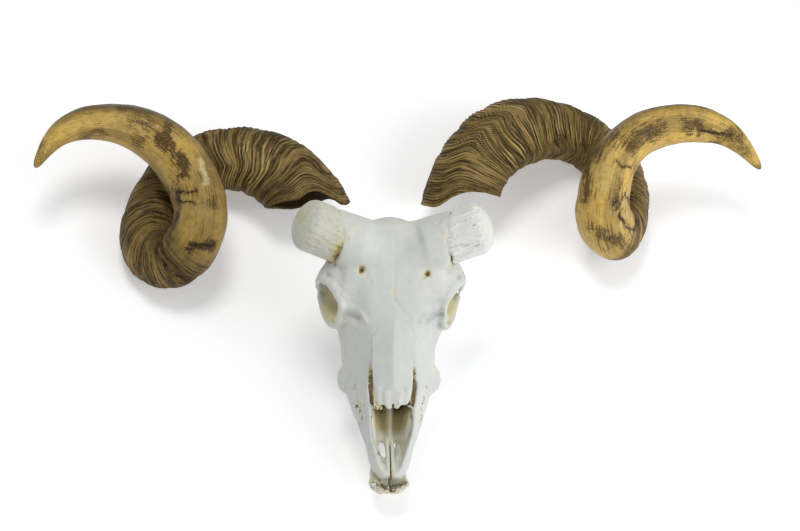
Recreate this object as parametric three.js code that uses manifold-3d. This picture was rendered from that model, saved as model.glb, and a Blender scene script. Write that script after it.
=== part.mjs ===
// A ram's skull laid out on a table: the skull rests on its lower jaw, and the two horn sheaths, slipped
// off their sawn cores, lie behind and beside it. Millimetres, +Z up, nose towards -Y.
// The skull is drawn in its own frame first: y runs back from the front of the premaxillae, z up from the
// plane of the palate, x to the animal's left. onTable() then tips it onto the flats of its jaw.
import * as THREE from "three";
import { mergeVertices } from "three/addons/utils/BufferGeometryUtils.js";
import Module from "manifold-3d";

const wasm = await Module();
wasm.setup();

// ---- driving dimensions -------------------------------------------------------------------------------
const NOSE_DOWN = THREE.MathUtils.degToRad(4); // how far the palate slopes down towards the nose
const NOSE_ASIDE = THREE.MathUtils.degToRad(2.5); // how far the nose points to the animal's left
const NOSE_TIP = [-7, -216, 38.4]; // where the front of the palate is, before the model is centred
const CENTRE = [-0.2, -11.8]; // the middle of the whole model's plan, which becomes the origin
const SEAM = 0.6; // gap left between pieces that meet
const FINENESS = 0.5; // how far a face may be moved to save triangles
const CORE_RADIUS = 25; // of a horn core at its burr
const BURR = 46; // how far from the midline the cores begin
const SHEATH_WALL = 3.2; // thickness of the horn sheath at its open end
const SHEATH_HOLLOW = 0.27; // share of the sheath's length that is hollow
// How far each open rim is set back from the first row of its sheath, every 30 degrees round the horn. It is
// drawn out into a tongue on one side and scooped underneath.
const SHEATH_RIMS = {
  right: [-27, -33, -28, 0, 0, 4, 15, 20, 20, 18, 14, 1],
  left: [22, 19, 15, 7, -15, -21, -19, -10, 5, 22, 27, 26],
};
const MOUTH_CLEAR = 40; // how far the cone taken out of a sheath runs on past its open end
const SIDES = [
  ["right", -1],
  ["left", 1],
];

// ---- how shapes are made ------------------------------------------------------------------------------
const v3 = (x, y, z) => new THREE.Vector3(x, y, z);
const lerp = THREE.MathUtils.lerp;

// A smooth function through rows of [position, value, value, ...]: returns the values at any position.
function through(rows) {
  const cubic = new THREE.CubicInterpolant(
    rows.map((row) => row[0]),
    rows.flatMap((row) => row.slice(1)),
    rows[0].length - 1,
    new Float32Array(rows[0].length - 1),
  );
  return (at) => [...cubic.evaluate(at)];
}

// One closed skin over rings of points that all have the same number of points, with a fan over each end.
function skin(rings, closedRound = false) {
  const sides = rings[0].length;
  const points = rings.flat();
  const index = [];
  const last = closedRound ? rings.length : rings.length - 1;
  for (let i = 0; i < last; i++)
    for (let j = 0; j < sides; j++) {
      const next = ((i + 1) % rings.length) * sides;
      const [a, b] = [i * sides + j, i * sides + ((j + 1) % sides)];
      const [c, d] = [next + j, next + ((j + 1) % sides)];
      index.push(a, b, d, a, d, c);
    }
  if (!closedRound)
    for (const [ring, way] of [
      [0, 1],
      [rings.length - 1, -1],
    ]) {
      const centre = points.length;
      points.push(rings[ring].reduce((sum, p) => sum.add(p), v3(0, 0, 0)).divideScalar(sides));
      for (let j = 0; j < sides; j++) {
        const pair = [ring * sides + j, ring * sides + ((j + 1) % sides)];
        index.push(centre, ...(way > 0 ? pair.reverse() : pair));
      }
    }
  return new THREE.BufferGeometry().setFromPoints(points).setIndex(index);
}

// A manifold solid of a closed geometry, whichever way its faces were wound.
function solid(geometry) {
  const bare = geometry.index ? geometry.toNonIndexed() : geometry.clone();
  bare.deleteAttribute("normal");
  bare.deleteAttribute("uv");
  const merged = mergeVertices(bare, 1e-3);
  const body = (triVerts) =>
    new wasm.Manifold(
      new wasm.Mesh({ numProp: 3, vertProperties: merged.attributes.position.array, triVerts }),
    );
  const made = body(new Uint32Array(merged.index.array));
  return made.volume() > 0 ? made : body(new Uint32Array(merged.index.array).reverse());
}

const join = (...solids) => solids.reduce((all, one) => all.add(one));
const cut = (from, ...tools) => tools.reduce((left, tool) => left.subtract(tool), from);

// A bone lofted along y. Each row of stations is [y, x, z, x, z, ...]: landmarks round one half of a section,
// from the middle of its top to the middle of its bottom. The other half is mirrored.
function loft(stations, rings, sides) {
  const at = through(stations);
  const [front, back] = [stations[0][0], stations[stations.length - 1][0]];
  return skin(
    Array.from({ length: rings }, (_, i) => {
      const y = lerp(front, back, i / (rings - 1));
      const flat = at(y);
      const half = [];
      for (let k = 0; k < flat.length; k += 2) half.push(v3(flat[k], y, flat[k + 1]));
      const mirrored = half.slice(1, -1).reverse().map((p) => v3(-p.x, p.y, p.z));
      const round = new THREE.CatmullRomCurve3([...half, ...mirrored], true);
      return round.getSpacedPoints(sides).slice(0, sides);
    }),
  );
}

// A tube through points, with an oval section. size(t) gives its half-widths across and up at share t of it.
function tube(points, size, rings, sides, closed = false) {
  const path = new THREE.CatmullRomCurve3(points.map((p) => v3(...p)), closed);
  return skin(
    Array.from({ length: rings }, (_, i) => {
      const t = closed ? i / rings : i / (rings - 1);
      const along = path.getTangentAt(t);
      const upward = Math.abs(along.z) > 0.9 ? v3(0, 1, 0) : v3(0, 0, 1);
      const across = along.clone().cross(upward).normalize();
      const up = across.clone().cross(along);
      const [wide, high] = size(t);
      return Array.from({ length: sides }, (_, j) => {
        const turn = (j / sides) * 2 * Math.PI;
        return path
          .getPointAt(t)
          .addScaledVector(across, wide * Math.cos(turn))
          .addScaledVector(up, high * Math.sin(turn));
      });
    }),
    closed,
  );
}

// An ellipsoid of half-sizes size about centre, tilted by turns about x, y and z in degrees.
function ball(centre, size, turns, detail) {
  const turned = new THREE.Euler(...turns.map(THREE.MathUtils.degToRad));
  return new THREE.SphereGeometry(1, detail, Math.round(detail * 0.6))
    .scale(...size)
    .applyMatrix4(new THREE.Matrix4().makeRotationFromEuler(turned))
    .translate(...centre);
}

// A flat plate cut to an outline of [y, z] points in the plane x = 0, thick along x, centred on x = at.
function plate(outline, at, thick, smooth = 3) {
  const edge = new THREE.CatmullRomCurve3(outline.map(([y, z]) => v3(y, z, 0)), true);
  const drawn = edge.getPoints(outline.length * smooth).map((p) => new THREE.Vector2(p.x, p.y));
  const shape = new THREE.Shape(drawn);
  const slab = new THREE.ExtrudeGeometry(shape, { depth: thick, bevelEnabled: false });
  return slab.translate(0, 0, -thick / 2).applyMatrix4(
    new THREE.Matrix4().set(0, 0, 1, at, 1, 0, 0, 0, 0, 1, 0, 0, 0, 0, 0, 1),
  );
}

const bone = (...geometries) => join(...geometries.map(solid));
const both = (make) => join(...SIDES.map(([, side]) => make(side)));

// ---- the bony skull -----------------------------------------------------------------------------------
// Sections of the face and forehead from the nose back. Each row is y, then x and z of five landmarks: the
// middle of the roof, the edge of the roof, the widest point, the lower edge and the middle of the underside.
const FACE = [
  [2, 0, 7, 5, 7, 10, 3, 7, -1, 0, -1],
  [14, 0, 13, 13, 12, 19, 4, 16, 0, 0, 0],
  [26, 0, 19, 18, 18, 21, 7, 17, 0, 0, 0],
  [38, 0, 30, 21, 26, 26, 8, 18, 0, 0, 1],
  [51, 0, 44, 21, 37, 30, 10, 20, 0, 0, 2],
  [64, 0, 51, 21, 44, 35, 12, 22, -3, 0, 3],
  [76, 0, 58, 22, 49, 39, 15, 25, -8, 0, 4],
  [90, 0, 65, 22, 56, 42, 20, 29, -10, 0, 5],
  [106, 0, 72, 23, 62, 43, 24, 32, -10, 0, 5],
  [123, 0, 80, 27, 71, 44, 30, 34, -10, 0, 5],
  [138, 0, 86, 36, 79, 46, 38, 34, -9, 0, 5],
  [150, 0, 91, 46, 85, 47, 48, 27, 0, 0, 8],
  [162, 0, 97, 54, 89, 42, 58, 24, 14, 0, 12],
  [176, 0, 104, 52, 92, 38, 66, 24, 26, 0, 18],
  [190, 0, 111, 46, 98, 35, 70, 24, 34, 0, 24],
  [204, 0, 117, 38, 106, 34, 74, 24, 42, 0, 32],
  [214, 0, 112, 30, 102, 28, 76, 18, 56, 0, 48],
];
const ROOF = through(FACE.map((row) => [row[0], row[2]]));
const EYE = [57, 153, 64]; // centre of the left eye socket
const RIM = [
  // round the left eye socket, from its outermost point forwards along the brow
  [66, 167, 78],
  [57, 160, 85],
  [50, 149, 82],
  [47, 138, 72],
  [48, 133, 58],
  [53, 135, 46],
  [58, 144, 41],
  [62, 157, 42],
  [65, 167, 52],
  [67, 171, 66],
];
const CHEEK_TEETH = { first: 77, pitch: 11.5, count: 6 }; // along each side, from the front one back
const BITE = -13; // height at which upper and lower cheek teeth meet

const sideways = (points, side) => points.map(([x, y, z]) => [x * side, y, z]);

// A straight row of cheek teeth, each a rounded block from its socket to the bite.
function cheekTeeth(side, socket, wide, aside) {
  const { first, pitch, count } = CHEEK_TEETH;
  const crown = BITE + (socket > BITE ? SEAM : -SEAM);
  const blocks = Array.from({ length: count }, (_, i) => {
    const y = first + i * pitch;
    const height = Math.abs(crown - socket);
    const block = new THREE.CylinderGeometry(pitch * 0.5, pitch * 0.58, height, 4);
    block.rotateY(Math.PI / 4).scale((wide / pitch) * 1.3, 1, 1.3).rotateX(Math.PI / 2);
    return block.translate(side * aside(y), y, (crown + socket) / 2);
  });
  return bone(...blocks);
}

// Everything of the upper skull that is one bone with the next, before it is parted at its sutures.
function wholeUpperSkull() {
  const head = [loft(FACE, 25, 14)];
  head.push(ball([0, 202, 65], [37, 33, 37], [0, 0, 0], 12)); // braincase
  head.push(ball([0, 221, 58], [35, 13, 30], [-8, 0, 0], 8)); // back of the head
  const nape = [[-33, 216, 48], [-24, 226, 68], [0, 229, 76], [24, 226, 68], [33, 216, 48]];
  head.push(tube(nape, () => [4, 4], 8, 6)); // nuchal crest
  head.push(tube([[0, 238, 25], [0, 205, 24], [0, 168, 24], [0, 140, 30]], (t) => [11 - 5 * t, 8], 5, 8));
  for (const [, side] of SIDES) {
    head.push(tube(sideways(RIM, side), () => [3.6, 3.6], 18, 6, true));
    const arch = [[58, 150, 41], [62, 172, 44], [57, 190, 49], [43, 205, 53], [26, 211, 54]];
    head.push(tube(sideways(arch, side), () => [3.6, 6], 8, 6));
    head.push(tube(sideways([[65, 170, 74], [57, 181, 84], [40, 194, 90]], side), () => [5.5, 9], 5, 6));
    head.push(ball([side * 50, 159, 82], [14, 15, 6], [14, side * 24, 0], 8)); // brow
    head.push(ball([side * 42, 139, 44], [9, 16, 11], [0, 0, side * -14], 8)); // cheekbone
    head.push(ball([side * 43, 154, 61], [19, 21, 22], [0, 0, 0], 10)); // wall of the eye socket
    head.push(tube(sideways([[49, 140, 43], [53, 158, 45], [49, 174, 50]], side), () => [9, 4], 4, 6)); // its floor
    head.push(tube(sideways([[57, 171, 82], [44, 184, 88], [28, 190, 88]], side), () => [9, 9], 4, 6));
    const tuber = [[40, 102, 27], [44.5, 91, 21], [41, 82, 15]];
    head.push(tube(sideways(tuber, side), (t) => [6 - 3 * Math.abs(2 * t - 1), 8], 5, 6));
    head.push(ball([side * 12, 241, 27], [8, 8, 10], [0, 0, side * -15], 8)); // occipital condyle
    const behindEar = [[28, 224, 44], [30, 228, 22], [27, 224, -4]];
    head.push(tube(sideways(behindEar, side), (t) => [4 + 2 * (1 - t), 8 - 5.5 * t], 5, 6));
    head.push(ball([side * 19, 206, 25], [8, 13, 14], [0, 0, 0], 8)); // bulla
    head.push(tube(sideways([[14, 146, 6], [13, 160, 4], [14, 176, 18]], side), () => [1.8, 8], 4, 6));
  }
  const grown = bone(...head);
  const sockets = both((side) => {
    const [x, y, z] = EYE;
    return bone(ball([side * x, y, z], [22, 16, 18], [0, 0, side * -12], 10));
  });
  const nerves = both((side) =>
    bone(
      tube([[side * 40, 72, 25], [side * 24, 88, 36]], () => [2, 2.6], 2, 6), // infraorbital
      tube([[side * 31, 169, 104], [side * 30, 171, 88]], () => [2.4, 2.4], 2, 6), // supraorbital
    ),
  );
  const spine = bone(ball([0, 240, 37], [9.5, 16, 9], [20, 0, 0], 8));
  const throat = bone(ball([0, 160, 10], [9, 14, 10], [30, 0, 0], 8));
  return cut(grown, sockets, nerves, spine, throat);
}

// The hollow nose: open above from the tips of the nasals forwards, and running back under them.
function nasalCavity() {
  const hollow = [
    [-4, 0, 40, 4, 40, 5, 20, 3, 8, 0, 8],
    [6, 0, 50, 8, 48, 8, 20, 6, 7, 0, 6],
    [14, 0, 55, 11, 50, 11.5, 20, 9, 6, 0, 5],
    [26, 0, 60, 15.5, 50, 15.5, 20, 12, 6, 0, 5],
    [38, 0, 60, 18.5, 50, 18.5, 24, 14, 7, 0, 5],
    [50, 0, 60, 18.5, 50, 19, 28, 15, 8, 0, 5],
    [60, 0, 42, 16, 38, 18.5, 27, 15, 9, 0, 6],
    [80, 0, 46, 14, 42, 18, 28, 14, 10, 0, 8],
    [98, 0, 44, 8, 42, 12, 30, 8, 18, 0, 16],
  ];
  const slots = both((side) => bone(ball([side * 6.8, 27, 3], [3, 13, 12], [0, 0, side * -4], 8)));
  return join(bone(loft(hollow, 14, 12)), slots);
}

// Boxes that part the skull: everything between two heights and two lengths, on one side of the middle.
function block([x0, x1], [y0, y1], [z0, z1]) {
  const size = [x1 - x0, y1 - y0, z1 - z0];
  return new THREE.BoxGeometry(...size).translate((x0 + x1) / 2, (y0 + y1) / 2, (z0 + z1) / 2);
}

// Half-widths along the nose, as y, then of the pair of nasal bones, then of the open gap they lie in.
const NASALS = [
  [48, 5, 21.6],
  [52, 9, 21.8],
  [59, 14, 22],
  [68, 17.2, 22],
  [80, 18.2, 21.8],
  [96, 19.2, 21],
  [112, 18.9, 19.6],
  [122, 12.2, 12.8],
  [128, 3, 3.6],
];

// The strip of roof between two levels under it, as wide as column 1 or 2 of NASALS.
function roofStrip(column, depth, seam) {
  const rows = NASALS.map((row) => {
    const [y, x, roof] = [row[0], row[column], ROOF(row[0])[0]];
    return [y, 0, roof + 14, x * 0.9, roof + 14, x, roof, x * 0.96, roof - depth, 0, roof - depth];
  });
  rows[0][0] -= column === 1 ? 0 : 12;
  rows[rows.length - 1][0] += seam;
  return bone(loft(rows, 12, 12));
}

// All that lies in front of the slanting suture between premaxilla and maxilla.
function premaxillaWedge(seam) {
  const suture = [[-60, -40], [10, -12], [24, 6], [44, 22], [60, 34], [58, 60], [-60, 90]];
  return bone(plate(suture, 0, 120, 1).translate(0, seam, -seam));
}

// The thin slip of each premaxilla that runs back beside the midline, over the palate.
function palatineSlip(side, seam) {
  const run = [[side * 2.4, 42 + seam, 7], [side * 2.4, 20, 7], [side * 2.6, 4, 6]];
  return bone(tube(run, () => [1.7 + seam, 2.6 + seam], 3, 6));
}

// A sawn horn core: a stout bony stump growing out and up from the forehead.
function hornCore(side, grow = 0) {
  const lift = side < 0 ? 4 : 0; // the right one stands a little higher
  const stump = [[28, 195, 95], [52, 201, 101], [72, 205, 107 + lift / 2], [87, 208, 112 + lift]];
  const size = (t) => [CORE_RADIUS - 1.5 * t + grow, CORE_RADIUS + 1 - 2 * t + grow];
  return bone(tube(sideways(stump, side), size, 6, 16));
}

// Everything outside the burr, the line where the rough core begins.
function beyondBurr(side, seam) {
  return bone(ball([side * (BURR + 300 - seam), 190, 150], [300, 300, 300], [0, 0, 0], 24));
}

// ---- the lower jaw ------------------------------------------------------------------------------------
const JAW_BODY = [
  [2, -8],
  [22, -13],
  [48, -19],
  [68, -21],
  [100, -23],
  [148, -17],
  [168, -8],
  [196, -10],
  [200, -26],
  [193, -44],
  [180, -53],
  [160, -50.5],
  [135, -47.5],
  [106, -47.5],
  [78, -40],
  [48, -30],
  [22, -25],
  [4, -17],
];
const JAW_BRANCH = [
  [150, -30],
  [156, -12],
  [164, 10],
  [172, 32],
  [184, 57],
  [191, 62],
  [193, 52],
  [197, 38],
  [206, 42],
  [210, 37],
  [206, 18],
  [203, -6],
  [198, -34],
  [176, -44],
];
const JAW_SPREAD = [
  // how far a half's middle is from the midline, as y and x
  [-10, 6],
  [35, 10],
  [76, 21],
  [136, 29],
  [210, 41],
];
const JAW_SPACING = through(JAW_SPREAD);
const INCISORS = 4; // on each side
const INCISOR_ARC = 16; // radius of the curve that they stand on

function jawMiddle(y) {
  const at = THREE.MathUtils.clamp(y, JAW_SPREAD[0][0], JAW_SPREAD[JAW_SPREAD.length - 1][0]);
  return JAW_SPACING(at)[0];
}

function jawHalf(side) {
  const spread = (geometry) => {
    const { position } = geometry.attributes;
    for (let i = 0; i < position.count; i++)
      position.setX(i, position.getX(i) + side * jawMiddle(position.getY(i)));
    return geometry;
  };
  const body = spread(plate(JAW_BODY, 0, 10, 2));
  const branch = spread(plate(JAW_BRANCH, 0, 5.5, 2));
  const condyle = tube([[33, 206, 38], [42, 208, 40], [51, 206, 38]].map(([x, y, z]) => [x * side, y, z]),
    () => [4.5, 4.5], 4, 6);
  const chin = ball([side * 7, 12, -15], [11, 19, 7], [14, 0, 0], 10);
  const gum = ball([side * 9, 3, -12], [11, 9, 5.5], [20, 0, 0], 8);
  const teeth = Array.from({ length: INCISORS }, (_, i) => {
    const turn = ((i + 0.5) / INCISORS) * 1.25;
    const x = side * INCISOR_ARC * 1.1 * Math.sin(turn);
    const y = -5 + INCISOR_ARC * 0.75 * (1 - Math.cos(turn));
    return ball([x, y, -6], [2.5, 2.4, 8], [28, 0, side * turn * 30], 5);
  });
  const middle = bone(block([side > 0 ? -60 : -SEAM / 2, side > 0 ? SEAM / 2 : 60], [-40, 60], [-60, 30]));
  const grown = bone(body, branch, condyle, chin, gum, ...teeth);
  return cut(join(grown, cheekTeeth(side, -26, 9, jawMiddle)), middle);
}

// ---- the horn sheaths ---------------------------------------------------------------------------------
// The middle line of each sheath as it lies, from its open end to its tip: x, y and z of the points that draw
// the curve, and the sheath's radius there. The curve runs close to the inner points and through the end ones.
const SHEATHS = {
  right: [
    [-87, 76, 37, 36],
    [-114, 110, 43, 35],
    [-159, 126, 39, 29.5],
    [-206, 119, 25, 28.6],
    [-231, 84, 29, 27.8],
    [-250, 26, 22, 26.1],
    [-210, -4, 35, 25.9],
    [-182, 26, 82, 25.3],
    [-201, 84, 73, 26.4],
    [-234, 105, 105, 23.8],
    [-279, 124, 97, 18.4],
    [-329, 113, 98, 13],
    [-349, 74, 82, 3],
  ],
  left: [
    [60, 87, 33, 35.5],
    [76, 129, 55, 35.5],
    [111, 158, 60, 34.4],
    [158, 175, 42, 28.5],
    [201, 168, 24, 27],
    [227, 127, 26, 28.1],
    [221, 65, 24, 27.2],
    [192, 48, 67, 26.9],
    [192, 88, 105, 23.4],
    [220, 136, 101, 20.3],
    [265, 148, 112, 19.9],
    [318, 145, 106, 13.4],
    [349, 110, 90, 3.1],
  ],
};

// A point of the smooth curve (a uniform cubic B-spline) drawn by a sheath's rows, at share t of the way.
function sheathRow(rows, t) {
  const beyond = (end, next) => rows[end].map((value, k) => 2 * value - rows[next][k]);
  const padded = [beyond(0, 1), ...rows, beyond(rows.length - 1, rows.length - 2)];
  const at = THREE.MathUtils.clamp(t, 0, 1) * (rows.length - 1);
  const i = Math.min(Math.floor(at), rows.length - 2);
  const f = at - i;
  const weights = [(1 - f) ** 3, 3 * f ** 3 - 6 * f ** 2 + 4, -3 * f ** 3 + 3 * f ** 2 + 3 * f + 1, f ** 3];
  return rows[0].map((_, k) => weights.reduce((sum, w, j) => sum + (w * padded[i + j][k]) / 6, 0));
}

// A horn sheath: rings round the curve, carried along it without twist. Its section has a blunt keel, its open
// rim follows the given rims, and a cone is taken out of it where the core was.
function sheath(rows, rims) {
  const STEPS = 240;
  const centre = (t) => v3(...sheathRow(rows, t).slice(0, 3));
  const carried = [];
  let side = null;
  for (let i = 0; i <= STEPS; i++) {
    const along = centre((i + 1) / STEPS).sub(centre((i - 1) / STEPS)).normalize();
    side = side ?? along.clone().cross(v3(0, 0, 1));
    side.addScaledVector(along, -side.dot(along)).normalize();
    carried.push({ side: side.clone(), up: side.clone().cross(along), along });
  }
  const length = new THREE.CatmullRomCurve3(rows.map(([x, y, z]) => v3(x, y, z))).getLength();
  const point = (t, turn, wall, narrow, past = 0) => {
    const { side, up, along } = carried[Math.round(THREE.MathUtils.clamp(t, 0, 1) * STEPS)];
    const keel = 1 + 0.05 * Math.cos(3 * (turn - 0.6 - 2 * t));
    const reach = (sheathRow(rows, t)[3] - wall) * keel * narrow;
    return centre(t)
      .addScaledVector(side, reach * Math.cos(turn))
      .addScaledVector(up, reach * Math.sin(turn))
      .addScaledVector(along, -past);
  };
  const rings = (count, sides, at) =>
    skin(
      Array.from({ length: count }, (_, i) =>
        Array.from({ length: sides }, (_, j) => at(i / (count - 1), (j / sides) * 2 * Math.PI)),
      ),
    );
  const rim = (turn) => rims[Math.round(turn / (Math.PI / 6)) % 12];
  const outside = rings(38, 12, (u, turn) => {
    const t = lerp(rim(turn) / length, 1, u);
    return point(t, turn, 0, 1, Math.max(0, -t * length));
  });
  const inside = rings(6, 8, (u, turn) => {
    const narrow = Math.sqrt(Math.max(0.02, 1 - u * u));
    return point(u * SHEATH_HOLLOW, turn, SHEATH_WALL, narrow, u === 0 ? MOUTH_CLEAR : 0);
  });
  return cut(bone(outside), bone(inside));
}

// ---- putting it together ------------------------------------------------------------------------------
const FINISH = {
  bone: { color: 0xd8dbd4, roughness: 0.62 },
  core: { color: 0xd5d3bd, roughness: 0.85 },
  horn: { color: 0x7a5a2c, roughness: 0.6 },
};

const table = bone(block([-900, 900], [-900, 900], [-200, 0]));

// A named mesh of a solid, cut flat where it would pass through the table.
function piece(name, made, finish) {
  const { vertProperties, triVerts } = cut(made, table).simplify(FINENESS).getMesh();
  const geometry = new THREE.BufferGeometry();
  geometry.setAttribute("position", new THREE.BufferAttribute(vertProperties, 3));
  geometry.setIndex(new THREE.BufferAttribute(triVerts, 1));
  geometry.computeVertexNormals();
  const material = new THREE.MeshStandardMaterial({ ...FINISH[finish], metalness: 0 });
  const mesh = new THREE.Mesh(geometry, material);
  mesh.name = name;
  return mesh;
}

// Carries a solid from the skull's own frame to its place on the table.
function onTable(made) {
  const turn = new THREE.Matrix4()
    .makeTranslation(...NOSE_TIP)
    .multiply(new THREE.Matrix4().makeRotationZ(NOSE_ASIDE))
    .multiply(new THREE.Matrix4().makeRotationX(NOSE_DOWN));
  return made.transform(turn.elements);
}

const half = (side) => {
  const across = side > 0 ? [SEAM / 2, 90] : [-90, -SEAM / 2];
  return bone(block(across, [-40, 300], [-90, 160]));
};
const upper = wholeUpperSkull();
const cavity = nasalCavity();
const coreRoom = both((side) => hornCore(side, SEAM).intersect(beyondBurr(side, SEAM)));
const pedicles = both((side) => cut(hornCore(side), beyondBurr(side, SEAM)));
const cranium = join(
  cut(upper, roofStrip(2, 8, SEAM), premaxillaWedge(SEAM), cavity, coreRoom),
  pedicles,
  both((side) => cheekTeeth(side, -6, 11, (y) => jawMiddle(y) + 3)),
);
const slipCuts = both((side) => palatineSlip(side, SEAM));
const vomer = tube([[0, 100, 18], [0, 70, 10], [0, 46, 8]], (t) => [3.4 - 0.8 * t, 5 - 2 * t], 3, 6);

const skull = new THREE.Group();
skull.add(piece("cranium", onTable(cut(join(cranium, bone(vomer)), slipCuts)), "bone"));
for (const [name, side] of SIDES) {
  const nasal = cut(upper.intersect(roofStrip(1, 7, 0)), cavity).intersect(half(side));
  const shell = cut(upper.intersect(premaxillaWedge(0)), cavity, roofStrip(2, 8, SEAM));
  const premaxilla = join(shell, palatineSlip(side, 0)).intersect(half(side));
  skull.add(piece(`nasal_${name}`, onTable(nasal), "bone"));
  skull.add(piece(`premaxilla_${name}`, onTable(premaxilla), "bone"));
  skull.add(piece(`horn_core_${name}`, onTable(hornCore(side).intersect(beyondBurr(side, 0))), "core"));
  skull.add(piece(`mandible_${name}`, onTable(jawHalf(side)), "bone"));
  skull.add(piece(`horn_sheath_${name}`, sheath(SHEATHS[name], SHEATH_RIMS[name]), "horn"));
}
skull.position.set(-CENTRE[0], -CENTRE[1], 0);

export default skull;
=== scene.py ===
"""The skull of a ram, laid on a table with the two horn sheaths that came off its cores beside it."""

import math

import bmesh
import bpy
import numpy as np
from mathutils import Matrix, Vector


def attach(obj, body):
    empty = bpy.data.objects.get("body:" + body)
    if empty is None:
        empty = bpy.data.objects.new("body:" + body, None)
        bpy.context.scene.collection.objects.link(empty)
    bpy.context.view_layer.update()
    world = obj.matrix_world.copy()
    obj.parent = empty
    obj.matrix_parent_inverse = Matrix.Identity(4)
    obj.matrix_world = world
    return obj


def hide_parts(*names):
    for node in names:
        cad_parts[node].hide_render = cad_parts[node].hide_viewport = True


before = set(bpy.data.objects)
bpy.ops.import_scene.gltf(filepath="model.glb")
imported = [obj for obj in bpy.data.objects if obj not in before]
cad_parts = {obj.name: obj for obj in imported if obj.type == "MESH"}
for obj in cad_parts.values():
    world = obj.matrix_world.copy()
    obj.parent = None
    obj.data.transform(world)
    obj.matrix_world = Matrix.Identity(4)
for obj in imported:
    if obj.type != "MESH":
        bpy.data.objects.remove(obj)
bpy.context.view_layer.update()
MM = 0.001


# ---- the cranium --------------------------------------------------------------------------------------
# The braincase, forehead, eye sockets, cheeks, palate and upper cheek teeth, grown into one. It is dry, clean
# bone: a smooth dense skin, spongy where it is worn, yellow and brown where fat and soil have stayed. Inside
# the nose, in the veins' holes and under the brow's ridge, the same yellow and brown are painted shade.

# Carries a point of the skull's own frame, in millimetres, to its place. That frame starts under the tip of
# the nose, with y back along the palate, z up and x towards the animal's left.
SKULL = (
    Matrix.Translation((-0.0068, -0.2042, 0.0384))
    @ Matrix.Rotation(math.radians(2.5), 4, "Z")
    @ Matrix.Rotation(math.radians(4), 4, "X")
    @ Matrix.Scale(MM, 4)
)
SIDES = (("right", -1), ("left", 1))

# The height of the roof of the nose and forehead along the middle, as y and z.
ROOF = np.array([(2, 7), (14, 13), (26, 19), (38, 30), (51, 44), (64, 51), (76, 58), (90, 65), (106, 72),
                 (123, 80), (138, 86), (150, 91), (162, 97), (176, 104), (190, 111), (204, 117), (214, 112)])
# Half the width of the gap that the nasal bones lie in, as y and x.
NASAL_GAP = np.array([(46, 21.7), (59, 22), (80, 21.8), (96, 21), (112, 19.6), (122, 12.8), (128, 3.6)])
# Round the left eye socket.
RIM = ((66, 167, 78), (57, 160, 85), (50, 149, 82), (47, 138, 72), (48, 133, 58), (53, 135, 46),
       (58, 144, 41), (62, 157, 42), (65, 167, 52), (67, 171, 66), (66, 167, 78))


def sideways(points, side):
    """Points of the left side, put on the side asked for."""
    return [(x * side, y, z) for x, y, z in points]


def haze(at, size, seed):
    """Smooth random values from -1 to 1 at points, in blotches about size across."""
    cell = at / size
    low = np.floor(cell).astype(np.int64)
    part = cell - low
    part = part * part * (3 - 2 * part)
    total = np.zeros(len(at))
    for corner in np.ndindex(2, 2, 2):
        key = (low + corner) @ (73856093, 19349663, 83492791) + seed * 7919
        key = ((key ^ (key >> 13)) * 1274126177) & 0x7FFFFFFF
        value = ((key ^ (key >> 15)) % 65536) / 32767.5 - 1
        total += value * np.prod(np.where(corner, part, 1 - part), axis=1)
    return total


def ramp(low, high, value):
    """0 below low, 1 above high, and a smooth rise between them."""
    share = np.clip((value - low) / (high - low), 0, 1)
    return share * share * (3 - 2 * share)


def distance(at, line):
    """How far each point is from a line through given points, or from a single point."""
    line = np.atleast_2d(np.array(line, float))
    if len(line) == 1:
        return np.linalg.norm(at - line[0], axis=1)
    nearest = np.full(len(at), np.inf)
    for start, end in zip(line, line[1:]):
        step = end - start
        share = np.clip((at - start) @ step / (step @ step), 0, 1)
        nearest = np.minimum(nearest, np.linalg.norm(at - start - share[:, None] * step, axis=1))
    return nearest


def fade(value):
    """1 at 0, and softly down to nothing about 2 on either side."""
    return np.exp(-(value**2))


def glow(at, line, width):
    """1 on a line or a point, fading to nothing about two widths away."""
    return fade(distance(at, line) / width)


def linked(name, data):
    """A new object of the scene, holding a mesh, camera or light."""
    made = bpy.data.objects.new(name, data)
    bpy.context.collection.objects.link(made)
    return made


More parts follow.
